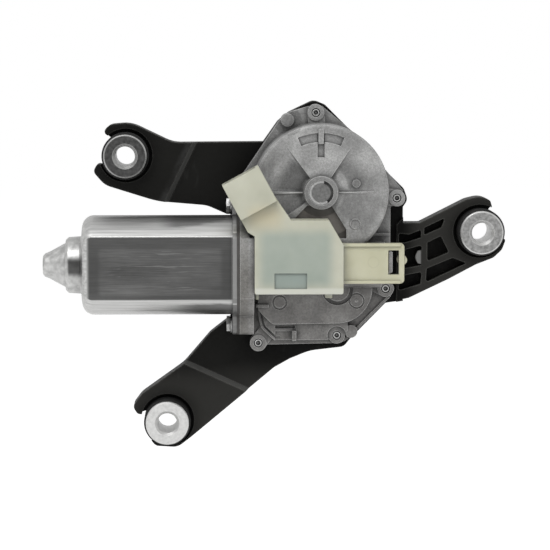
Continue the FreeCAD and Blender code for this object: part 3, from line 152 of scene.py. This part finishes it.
NOISE_LOW, NOISE_HIGH = 0.3, 0.7    # a noise hardly goes past these
GROOVE, OPEN_PLACE = 0.3, 0.95      # openness, from ambient occlusion
EDGE_BORDER = (0.99, 0.85)          # cosine between a rounded normal and the face's own
OCCLUSION_SAMPLES, BEVEL_SAMPLES = 8, 4
MIX_FIRST, MIX_SECOND, MIX_RESULT = 6, 7, 2     # the colour sockets of a mix node


class Shader:
    """A material with a principled shader, and short calls for the nodes that feed it."""

    def __init__(self, name):
        self.material = bpy.data.materials.new(name)
        self.material.use_nodes = True
        self.tree = self.material.node_tree
        self.shader = self.tree.nodes["Principled BSDF"]
        coordinates = self.add("ShaderNodeTexCoord")
        self.place = coordinates.outputs["Object"]
        self.normal = coordinates.outputs["Normal"]

    def add(self, kind, **settings):
        node = self.tree.nodes.new(kind)
        for key, value in settings.items():
            setattr(node, key, value)
        return node

    def feed(self, socket, value):
        """Links an output to a socket, or sets the socket to a plain value."""
        if isinstance(value, bpy.types.NodeSocket):
            self.tree.links.new(value, socket)
        else:
            socket.default_value = value

    def noise(self, scale, detail=2.0, stretch=(1, 1, 1), turn=(0, 0, 0)):
        mapping = self.add("ShaderNodeMapping")
        self.feed(mapping.inputs["Vector"], self.place)
        mapping.inputs["Scale"].default_value = stretch
        mapping.inputs["Rotation"].default_value = turn
        texture = self.add("ShaderNodeTexNoise")
        self.feed(texture.inputs["Vector"], mapping.outputs[0])
        texture.inputs["Scale"].default_value = scale
        texture.inputs["Detail"].default_value = detail
        return texture.outputs["Fac"]

    def ramp(self, value, *stops):
        """A scale of grey levels or colours: pairs of position and level."""
        node = self.add("ShaderNodeValToRGB")
        self.feed(node.inputs[0], value)
        elements = node.color_ramp.elements
        while len(elements) < len(stops):
            elements.new(0.5)
        for element, (position, level) in zip(elements, stops):
            element.position = position
            element.color = (*level, 1) if isinstance(level, tuple) else (level, level, level, 1)
        return node.outputs["Color"]

    def clouds(self, noise, dark, light):
        """The dark tone where the noise is low, the light tone where it is high."""
        return self.ramp(noise, (NOISE_LOW, dark), (NOISE_HIGH, light))

    def mix(self, factor, first, second, blend="MIX"):
        node = self.add("ShaderNodeMix", data_type="RGBA", blend_type=blend)
        self.feed(node.inputs["Factor"], factor)
        for index, value in ((MIX_FIRST, first), (MIX_SECOND, second)):
            self.feed(node.inputs[index], (*value, 1) if isinstance(value, tuple) else value)
        return node.outputs[MIX_RESULT]

    def grain(self, strength, tone, value, *stops):
        """The tone with a scale of grey levels laid over it, lighter above a half."""
        return self.mix(strength, tone, self.ramp(value, *stops), "OVERLAY")

    def maths(self, operation, first, second=0.0):
        node = self.add("ShaderNodeMath", operation=operation)
        self.feed(node.inputs[0], first)
        self.feed(node.inputs[1], second)
        return node.outputs[0]

    def times(self, first, *others):
        for other in others:
            first = self.maths("MULTIPLY", first, other)
        return first

    def plus(self, first, *others):
        for other in others:
            first = self.maths("ADD", first, other)
        return first

    def greatest(self, first, *others):
        for other in others:
            first = self.maths("MAXIMUM", first, other)
        return first

    def span(self, value, low, high, to_low=0.0, to_high=1.0):
        """The value carried from one range to another, smoothly and with its ends held."""
        node = self.add("ShaderNodeMapRange", interpolation_type="SMOOTHSTEP")
        for index, item in enumerate((value, low, high, to_low, to_high)):
            self.feed(node.inputs[index], item)
        return node.outputs[0]

    def vary(self, noise, low, high):
        """A plain value that follows the noise from low to high, such as a roughness."""
        return self.span(noise, NOISE_LOW, NOISE_HIGH, low, high)

    def axis(self, letter):
        """Place along X, Y or Z in millimetres."""
        node = self.add("ShaderNodeSeparateXYZ")
        self.feed(node.inputs[0], self.place)
        return self.times(node.outputs[letter], 1 / MM)

    def from_line(self, x, z):
        """Places across and up from a line along Y through (x, z), in millimetres."""
        return self.maths("SUBTRACT", self.axis("X"), x), self.maths("SUBTRACT", self.axis("Z"), z)

    def distance(self, x, z):
        """Distance in millimetres from a line along Y through (x, z)."""
        across, up = self.from_line(x, z)
        return self.maths("SQRT", self.plus(self.times(across, across), self.times(up, up)))

    def within(self, letter, low, high, fade):
        """1 between two levels of an axis, fading to 0 across each."""
        place = self.axis(letter)
        return self.times(self.span(place, low - fade, low + fade), self.span(place, high + fade, high - fade))

    def patch(self, block, fade):
        """1 inside a block of the XZ plane, fading to 0 across its border."""
        left, right, low, high = block
        return self.times(self.within("X", left, right, fade), self.within("Z", low, high, fade))

    def corners(self, reach):
        """Openness of a place: 1 in the open, less in grooves and corners."""
        node = self.add("ShaderNodeAmbientOcclusion", samples=OCCLUSION_SAMPLES)
        node.inputs["Distance"].default_value = reach * MM
        return node.outputs["AO"]

    def shade(self, tone, reach, deep, strength=1.0):
        """Painted shade: the tone darkened in grooves and corners."""
        openness = self.ramp(self.corners(reach), (GROOVE, deep), (OPEN_PLACE, 1.0))
        return self.mix(strength, tone, openness, "MULTIPLY")

    def rounded(self, radius):
        """The normal as if sharp edges were rounded."""
        bevel = self.add("ShaderNodeBevel", samples=BEVEL_SAMPLES)
        bevel.inputs["Radius"].default_value = radius * MM
        return bevel.outputs[0]

    def edges(self, radius):
        """1 on the sharp edges, 0 on the faces beside them."""
        turn = self.add("ShaderNodeVectorMath", operation="DOT_PRODUCT")
        self.feed(turn.inputs[0], self.rounded(radius))
        self.feed(turn.inputs[1], self.add("ShaderNodeNewGeometry").outputs["Normal"])
        return self.span(turn.outputs["Value"], *EDGE_BORDER)

    def finish(self, colour, roughness, rounding, relief, metallic=0.0, specular=0.5):
        """The shader's inputs. Relief is a stack of bumps: height, depth in millimetres, strength."""
        inputs = self.shader.inputs
        self.feed(inputs["Base Color"], colour)
        self.feed(inputs["Roughness"], roughness)
        inputs["Metallic"].default_value = metallic
        inputs["Specular IOR Level"].default_value = specular
        normal = self.rounded(rounding)
        for height, depth, strength in relief:
            bump = self.add("ShaderNodeBump")
            bump.inputs["Strength"].default_value = strength
            bump.inputs["Distance"].default_value = depth * MM
            self.feed(bump.inputs["Height"], height)
            self.feed(bump.inputs["Normal"], normal)
            normal = bump.outputs[0]
        self.feed(inputs["Normal"], normal)
        return self.material


def grey(level):
    """A metal's or plastic's grey, a trace warmer than neutral."""
    return (level, level, level * 0.985)


def cast_aluminium():
    """Die-cast skin: cloudy flow marks, fine grain, painted shade in the corners, in the dome's pockets and
    towards the bottom, and edges lighter with wear and with painted highlight.
    """
    s = Shader("cast_aluminium")
    flow = s.noise(75, 5)
    # Painted shade: the lower tone is darker than the upper one, and warmer
    upper = s.ramp(flow, (0.32, grey(0.185)), (0.5, grey(0.265)), (0.68, grey(0.38)))
    lower = s.ramp(flow, (0.32, (0.128, 0.124, 0.120)), (0.5, (0.172, 0.168, 0.162)),
                   (0.68, (0.225, 0.221, 0.214)))
    tone = s.mix(s.span(s.axis("Z"), *SHADED_LOWER_TO_LIT_UPPER), lower, upper)
    tone = s.mix(s.span(s.axis("X"), *FLANGE_BORDER, 0.0, 0.45), tone, (0.135, 0.130, 0.115))
    tone = s.mix(s.span(s.distance(PIN_X, PIN_Z), *PIN_BORDER, 0.0, 0.6), tone, grey(0.14))
    radius = s.distance(WHEEL_X, WHEEL_Z)
    tone = s.mix(s.span(radius, *AXLE_BORDER, 0.0, 0.7), tone, grey(0.145))
    across, up = s.from_line(WHEEL_X, WHEEL_Z)
    angle = s.maths("ARCTAN2", up, across)
    # Painted shade in the dome's pockets, and a lighter band beside the boss
    for start, end, near, far, level, strength in DOME_SHADE_SECTORS:
        sector = s.times(s.span(angle, start - SECTOR_OUTER_FADE, start + SECTOR_INNER_FADE),
                         s.span(angle, end + SECTOR_OUTER_FADE, end - SECTOR_INNER_FADE))
        ring = s.times(s.span(radius, near - RING_NEAR_FADE, near + RING_NEAR_FADE),
                       s.span(radius, far + RING_FAR_FADE, far - RING_FAR_FADE))
        tone = s.mix(s.times(sector, ring, strength), tone, grey(level))
    skin = s.noise(5200, 2)
    tone = s.grain(0.4, tone, skin, (0.35, 0.2), (0.65, 0.75))
    tone = s.grain(0.35, tone, s.noise(1100, 4), (0.35, 0.3), (0.65, 0.7))
    stain = s.span(s.noise(160, 5, stretch=(1, 1, 0.5)), 0.58, 0.72, 0.0, 0.35)
    tone = s.mix(stain, tone, grey(0.10))
    # Edges lighter, partly with wear and partly as painted highlight
    tone = s.mix(s.times(s.edges(0.6), 0.7), tone, grey(0.60))
    tone = s.shade(tone, 2.5, 0.25, 0.8)
    tone = s.shade(tone, 14.0, 0.45, 0.8)
    return s.finish(tone, s.vary(s.noise(420, 3), 0.42, 0.62), 0.4,
                    [(skin, 0.12, 0.55), (s.noise(900, 3), 0.15, 0.35)], metallic=0.4)


def carrier_plastic():
    """Black glass-filled nylon: satin, greyer on the right arm and the lower end, with painted highlights on
    its steps and its nub, edges lighter with wear and with painted highlight, and painted shade in its
    hollows.
    """
    s = Shader("carrier_plastic")
    black = s.ramp(s.noise(45, 3), (0.3, (0.0022, 0.0022, 0.0019)), (0.75, (0.0052, 0.0052, 0.0046)))
    pale = s.greatest(s.span(s.axis("X"), *RIGHT_ARM_BORDER), s.span(s.axis("Z"), *LOWER_ARM_BORDER),
                      s.span(s.axis("X"), *LEFT_ARMS_BORDER, 0.0, 0.25))
    tone = s.mix(pale, black, (0.026, 0.0255, 0.0235))
    # Painted highlight on the nub
    nub_highlight = s.times(s.patch(NUB, 0.4), s.span(s.axis("Y"), *NUB_FRONT_BORDER))
    tone = s.mix(s.times(nub_highlight, 0.9), tone, grey(0.21))
    # Painted highlight on the arms' steps, the faces that slant towards the viewer
    parts = s.add("ShaderNodeSeparateXYZ")
    s.feed(parts.inputs[0], s.normal)
    facing = s.maths("ABSOLUTE", parts.outputs["Y"])
    step = s.times(s.span(facing, 0.40, 0.52), s.span(facing, 0.75, 0.63))
    tone = s.mix(s.times(step, 0.8), tone, (0.115, 0.115, 0.110))
    across = s.plus(s.times(s.axis("X"), ACROSS_STEP_X), s.times(s.axis("Z"), ACROSS_STEP_Z))
    # Patchy painted highlight on the upper arm's step
    step_highlight_band = s.times(s.span(across, *HIGHLIGHT_BAND_START_BORDER), s.span(across, *HIGHLIGHT_BAND_END_BORDER))
    tone = s.mix(s.times(step_highlight_band, s.span(s.noise(90, 4), 0.4, 0.6, 0.1, 0.45)), tone, grey(0.05))
    rubs = s.span(s.noise(260, 6, stretch=(1, 1, 0.35)), 0.60, 0.78, 0.0, 0.22)
    tone = s.mix(rubs, tone, (0.05, 0.05, 0.047))
    # Edges lighter, partly with wear and partly as painted highlight
    tone = s.mix(s.times(s.edges(0.9), 0.5), tone, (0.14, 0.14, 0.13))
    tone = s.shade(tone, 8.0, 0.18)
    return s.finish(tone, s.vary(s.noise(600, 3), 0.42, 0.58), 0.5,
                    [(s.noise(2600, 2), 0.1, 0.25)], specular=0.06)


def can_steel():
    """Drawn steel can: brushed along its length, clean on its nose; its front flat scratched and darkened by a
    painted reflection, with painted dark reflections on its neck, crown and belly.
    """
    s = Shader("can_steel")
    along, height = s.axis("X"), s.axis("Z")
    drum = s.span(along, *DRUM_BORDER)
    lines = s.noise(900, 3, stretch=(0.03, 1, 1))
    fine = s.noise(4200, 2, stretch=(0.02, 1, 1))
    spots = s.noise(420, 4)
    nose = s.clouds(spots, grey(0.32), grey(0.54))
    # Painted dark reflection on the neck
    neck_reflection = s.times(s.within("X", *NECK_X, 0.6), s.within("Z", *NECK_Z, 1.8))
    nose = s.mix(s.times(neck_reflection, 0.92), nose, grey(0.03))
    tone = s.mix(drum, nose, s.clouds(lines, grey(0.34), grey(0.56)))
    # Painted dark reflections on the crown and on the belly, towards the gearbox, ragged at their edges
    wander = s.vary(s.noise(130, 4, stretch=(0.3, 1, 1)), -REFLECTION_WANDER, REFLECTION_WANDER)
    slope = s.times(s.plus(along, REFLECTION_SLOPE_START), REFLECTION_SLOPE)
    high = s.times(s.span(s.plus(height, slope, wander), *HIGH_REFLECTION_Z), s.span(along, *HIGH_REFLECTION_X))
    low = s.times(s.span(s.plus(height, wander), *LOW_REFLECTION_Z), s.span(along, *LOW_REFLECTION_X))
    tone = s.mix(s.times(s.greatest(high, low), 0.8), tone, grey(0.07))
    # Painted darker reflection along the crown
    crown_reflection = s.times(s.span(height, *CROWN_BORDER, 0.0, 0.3), drum)
    tone = s.mix(crown_reflection, tone, grey(0.26))
    # The flat that faces the viewer: a painted dark reflection, blotched, scratched in its middle, darker at
    # its border, light at both ends
    flat_reflection_and_scratches = s.ramp(s.noise(60, 4, stretch=(0.5, 1, 1)), (0.32, grey(0.055)), (0.72, grey(0.11)))
    flat_reflection_and_scratches = s.grain(0.3, flat_reflection_and_scratches, fine, (0.35, 0.3), (0.65, 0.75))
    level = s.span(s.noise(1300, 3, stretch=(0.05, 1, 1), turn=(0, 0.12, 0)), 0.60, 0.70)
    slanting = s.span(s.noise(1500, 2, stretch=(0.08, 1, 1), turn=(0, -0.5, 0)), 0.66, 0.74)
    scratches = s.times(s.greatest(level, slanting), s.patch(SCRATCHED, 7))
    flat_reflection_and_scratches = s.mix(s.times(scratches, 0.25), flat_reflection_and_scratches, grey(0.26))
    border = s.span(s.patch(INSIDE_FLAT, 1.8), 0.0, 1.0, 0.6, 0.0)
    flat_reflection_and_scratches = s.mix(border, flat_reflection_and_scratches, grey(0.045))
    flat_reflection_and_scratches = s.mix(s.span(along, *FLAT_REAR_BORDER), flat_reflection_and_scratches, grey(0.185))
    # Painted highlight along the flat's front end
    flat_reflection_and_scratches = s.mix(s.span(along, *FLAT_FRONT_BORDER), flat_reflection_and_scratches, grey(0.19))
    front = MOTOR_Y - CAN_FLAT
    flat = s.span(s.axis("Y"), front + 0.05, front + 0.5, 1.0, 0.0)
    tone = s.mix(s.times(flat, drum), tone, flat_reflection_and_scratches)
    tone = s.shade(tone, 6.0, 0.3, 0.8)
    return s.finish(tone, s.vary(s.mix(drum, spots, lines), 0.34, 0.48), 0.4,
                    [(s.mix(drum, spots, fine), 0.04, 0.2), (s.noise(120, 3), 0.2, 0.12)], metallic=0.9)


def ivory_nylon():
    """Natural nylon: milky, grey-green over the casting, yellower on the tongue."""
    s = Shader("ivory_nylon")
    mottle = s.noise(60, 3)
    tone = s.clouds(mottle, (0.45, 0.451, 0.362), (0.55, 0.552, 0.455))
    body = s.clouds(mottle, (0.30, 0.345, 0.300), (0.37, 0.41, 0.36))
    tone = s.mix(s.times(s.patch(NYLON_BODY, 3.2), 0.95), tone, body)
    tone = s.mix(s.times(s.patch(NYLON_BEND, 4.0), 0.6), tone, (0.60, 0.535, 0.365))
    tone = s.mix(s.times(s.patch(NYLON_LIP, 0.7), 0.7), tone, (0.62, 0.63, 0.57))
    tone = s.mix(s.times(s.patch(NYLON_WINDOW, 0.25), 0.8), tone, (0.255, 0.305, 0.28))
    tongue = s.clouds(s.noise(90, 2), (0.50, 0.49, 0.35), (0.57, 0.56, 0.42))
    tone = s.mix(s.span(s.axis("X"), *TONGUE_BORDER), tone, tongue)
    gate = s.distance(GATE_X, GATE_Z)
    mark = s.times(s.span(gate, *GATE_OUT_BORDER), s.span(gate, *GATE_IN_BORDER))
    tone = s.mix(s.times(mark, 0.25), tone, (0.40, 0.39, 0.27))
    tone = s.shade(tone, 5.0, 0.48, 0.9)
    s.shader.inputs["Subsurface Weight"].default_value = 0.1
    s.shader.inputs["Subsurface Radius"].default_value = (0.004, 0.0035, 0.002)
    return s.finish(tone, s.vary(s.noise(500, 3), 0.38, 0.52), 0.4,
                    [(s.noise(1500, 2), 0.08, 0.25), (s.noise(130, 2), 0.3, 0.12)], specular=0.35)


def turned_steel(name, x, z, dark, light, highlight_tone, rough_low, rough_high):
    """A turned sleeve: fine rings about its own axis, painted highlights on its chamfers and in its bore."""
    s = Shader(name)
    radius = s.distance(x, z)
    rings = s.maths("SINE", s.times(radius, RING_WAVE))
    wobble = s.noise(700, 3)
    tone = s.clouds(wobble, grey(dark), grey(light))
    tone = s.grain(0.25, tone, rings, (0.0, 0.35), (1.0, 0.65))
    # Painted highlight on the rim's chamfer and in the bore
    rim_and_bore_highlight = s.greatest(s.span(radius, *RIM_BORDER), s.span(radius, *BORE_BORDER))
    tone = s.mix(s.times(rim_and_bore_highlight, 0.85), tone, grey(highlight_tone))
    tone = s.shade(tone, 5.0, 0.5, 0.6)
    return s.finish(tone, s.vary(wobble, rough_low, rough_high), 0.2,
                    [(rings, 0.03, 0.35), (s.noise(2600, 2), 0.05, 0.2)], metallic=0.85)


def plated_steel(name, dark, light, rough_low, rough_high, extra_relief=None, socket_shade=False):
    """Zinc plate or ground steel with small handling marks. One with socket shade has painted shade, nearly
    black, in its sockets.
    """
    s = Shader(name)
    tone = s.shade(s.clouds(s.noise(1100, 4), dark, light), 2.0, 0.4, 0.8)
    if socket_shade:
        # Painted shade: the sockets nearly black
        tone = s.mix(1.0, tone, s.ramp(s.corners(1.8), (0.55, 0.02), (0.80, 1.0)), "MULTIPLY")
    relief = [(s.noise(3000, 2), 0.04, 0.2)]
    if extra_relief:
        relief.append(extra_relief(s))
    return s.finish(tone, s.vary(s.noise(500, 2), rough_low, rough_high), 0.15, relief, metallic=0.9)


def taper_ridges(s):
    """Fine straight ridges round the taper of the spindle: height, depth, strength."""
    turn = s.maths("ARCTAN2", s.axis("Z"), s.axis("X"))
    ridges = s.maths("SINE", s.times(turn, TAPER_RIDGES))
    return s.times(ridges, s.within("Y", TAPER_START, TAPER_END, 0.3)), 0.10, 0.7


def plain(name, dark, light, rough_low, rough_high, metallic=0.0, specular=0.5):
    """A moulded, pressed or sintered surface."""
    s = Shader(name)
    tone = s.shade(s.clouds(s.noise(180, 3), dark, light), 3.0, 0.45, 0.7)
    return s.finish(tone, s.vary(s.noise(600, 2), rough_low, rough_high), 0.15,
                    [(s.noise(1800, 2), 0.05, 0.3)], metallic, specular)


# Dark and light tone, roughness from and to. A plated steel may go on with an extra relief
# and whether its sockets get painted shade, and a plain surface with how metallic and how specular it is.
PLATED = {
    "zinc_steel": (grey(0.26), grey(0.42), 0.35, 0.5, None, True),
    "shaft_steel": (grey(0.40), grey(0.55), 0.22, 0.36),
    "spindle_steel": (grey(0.40), grey(0.55), 0.22, 0.36, taper_ridges),
    "axle_steel": (grey(0.10), grey(0.16), 0.45, 0.6),
    "spring_steel": (grey(0.30), grey(0.45), 0.25, 0.4),
    "terminal": ((0.38, 0.36, 0.29), (0.52, 0.50, 0.42), 0.25, 0.4),
}
PLAIN = {
    "core_steel": (grey(0.09), grey(0.16), 0.5, 0.65, 0.7),
    "magnet": (grey(0.025), grey(0.05), 0.55, 0.7, 0.2),
    "bronze": ((0.30, 0.17, 0.07), (0.42, 0.26, 0.12), 0.4, 0.55, 0.9),
    "brown_resin": ((0.028, 0.026, 0.024), (0.05, 0.046, 0.042), 0.45, 0.6),
    "carbon": (grey(0.012), grey(0.03), 0.5, 0.65, 0.1),
    "copper": ((0.45, 0.18, 0.08), (0.62, 0.28, 0.14), 0.28, 0.42, 0.9),
    # The contact track's dark grey is painted shade inside the gearbox window; the gear's dark grey-green is
    # partly its own colour, partly painted shade
    "track": ((0.13, 0.12, 0.108), (0.21, 0.197, 0.18), 0.4, 0.55, 0.6),
    "gear_nylon": ((0.070, 0.064, 0.056), (0.12, 0.112, 0.10), 0.4, 0.55),
    "rubber": (grey(0.006), grey(0.014), 0.5, 0.68, 0.0, 0.2),
}
# Nodes whose material isn't that of their slot
OWN_MATERIAL = {
    "mount_sleeve_upper": "sleeve_upper",
    "mount_sleeve_right": "sleeve_right",
    "mount_sleeve_lower": "sleeve_lower",
    "output_spindle": "spindle_steel",
    "wheel_axle": "axle_steel",
    "contact_disc": "track",
}


def make_materials():
    """One material for each of the record's slots but the sleeves', and some for single pieces."""
    made = {
        "cast_aluminium": cast_aluminium(),
        "carrier_plastic": carrier_plastic(),
        "can_steel": can_steel(),
        "ivory_nylon": ivory_nylon(),
    }
    for name, values in PLATED.items():
        made[name] = plated_steel(name, *values)
    for name, values in PLAIN.items():
        made[name] = plain(name, *values)
    for side, values in SLEEVES.items():
        name = "sleeve_" + side
        made[name] = turned_steel(name, *values)
    return made


def dress_nodes(materials):
    """Gives every node of the model the material of its slot, or its own."""
    for part in frame["record"]["subparts"]:
        node = part["node"]
        mesh = cad[node].data
        mesh.materials.clear()
        mesh.materials.append(materials[OWN_MATERIAL.get(node, part["material_slot"])])


# Pieces of the scene alone

def spindle_thread(material):
    """A helical ridge on the threaded end of the spindle."""
    turns = (THREAD_END - THREAD_START - THREAD_PITCH) / THREAD_PITCH
    shape = bmesh.new()
    rows = []
    for step in range(int(turns * THREAD_STEPS) + 1):
        angle = step * 2 * math.pi / THREAD_STEPS
        level = THREAD_START + THREAD_PITCH * step / THREAD_STEPS
        rows.append([shape.verts.new((radius * math.cos(angle) * MM, (level + along) * MM,
                                      radius * math.sin(angle) * MM))
                     for radius, along in THREAD_PROFILE])
    for first, second in zip(rows, rows[1:]):
        for index in range(len(first)):
            following = (index + 1) % len(first)
            shape.faces.new((first[index], first[following], second[following], second[index]))
    shape.faces.new(rows[0])
    shape.faces.new(list(reversed(rows[-1])))
    bmesh.ops.recalc_face_normals(shape, faces=shape.faces)
    mesh = bpy.data.meshes.new("spindle_thread")
    shape.to_mesh(mesh)
    shape.free()
    mesh.materials.append(material)
    thread = bpy.data.objects.new("spindle_thread", mesh)
    bpy.context.scene.collection.objects.link(thread)
    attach(thread, "output_shaft")


# Stage

def background_rays(tree):
    """1 for camera, mirror and see-through rays, 0 for rays that carry light."""
    path = tree.nodes.new("ShaderNodeLightPath")
    value = path.outputs["Is Camera Ray"]
    for name in ("Is Glossy Ray", "Is Transmission Ray"):
        either = tree.nodes.new("ShaderNodeMath")
        either.operation = "MAXIMUM"
        tree.links.new(value, either.inputs[0])
        tree.links.new(path.outputs[name], either.inputs[1])
        value = either.outputs[0]
    return value


def make_stage():
    """A white floor below the hung part, which still takes its shadow."""
    bpy.ops.mesh.primitive_plane_add(size=FLOOR_SIZE, location=(0, 0, FLOOR_Z))
    floor = bpy.context.object
    floor.name = "floor"
    material = bpy.data.materials.new("floor_white")
    material.use_nodes = True
    tree = material.node_tree
    shader = tree.nodes["Principled BSDF"]
    shader.inputs["Base Color"].default_value = (FLOOR_TONE, FLOOR_TONE, FLOOR_TONE, 1)
    shader.inputs["Roughness"].default_value = 1.0
    shader.inputs["Specular IOR Level"].default_value = 0.0
    shader.inputs["Emission Color"].default_value = (1, 1, 1, 1)
    glow = tree.nodes.new("ShaderNodeMath")
    glow.operation = "MULTIPLY"
    tree.links.new(background_rays(tree), glow.inputs[0])
    glow.inputs[1].default_value = FLOOR_GLOW
    tree.links.new(glow.outputs[0], shader.inputs["Emission Strength"])
    floor.data.materials.append(material)


def make_world():
    """Soft light all round, which the camera and mirrors see as plain white."""
    world = bpy.data.worlds.new("studio")
    bpy.context.scene.world = world
    world.use_nodes = True
    tree = world.node_tree
    background = tree.nodes["Background"]
    level = tree.nodes.new("ShaderNodeMapRange")
    tree.links.new(background_rays(tree), level.inputs[0])
    level.inputs["To Min"].default_value = WORLD_LEVEL
    level.inputs["To Max"].default_value = 1.0
    background.inputs["Color"].default_value = (1, 1, 1, 1)
    tree.links.new(level.outputs[0], background.inputs["Strength"])


def make_lamps():
    """Soft boxes that face the middle of the object."""
    for name, (place, width, height, power) in LAMPS.items():
        light = bpy.data.lights.new(name, "AREA")
        light.shape = "RECTANGLE"
        light.size = width
        light.size_y = height
        light.energy = power
        lamp = bpy.data.objects.new(name, light)
        bpy.context.scene.collection.objects.link(lamp)
        lamp.location = place
        lamp.rotation_euler = (Vector(LAMP_AIM) - Vector(place)).to_track_quat("-Z", "Y").to_euler()


def make_camera():
    """The photograph's own view: its angle, its distance and its frame."""
    azimuth = math.radians(CAMERA_AZIMUTH)
    elevation = math.radians(CAMERA_ELEVATION)
    back = Vector((math.sin(azimuth) * math.cos(elevation), -math.cos(azimuth) * math.cos(elevation),
                   math.sin(elevation)))
    lens = bpy.data.cameras.new("camera")
    lens.sensor_width = SENSOR_WIDTH
    lens.lens = FOCAL_PIXELS * SENSOR_WIDTH / PIXELS_ACROSS
    lens.clip_start = CAMERA_CLIP_START
    camera = bpy.data.objects.new("camera", lens)
    bpy.context.scene.collection.objects.link(camera)
    camera.location = CAMERA_TARGET + back * CAMERA_DISTANCE
    camera.rotation_euler = (-back).to_track_quat("-Z", "Y").to_euler()
    bpy.context.scene.camera = camera


materials = make_materials()
dress_nodes(materials)
spindle_thread(materials["spindle_steel"])
make_stage()
make_world()
make_lamps()
make_camera()
bpy.context.scene.view_settings.view_transform = "Standard"
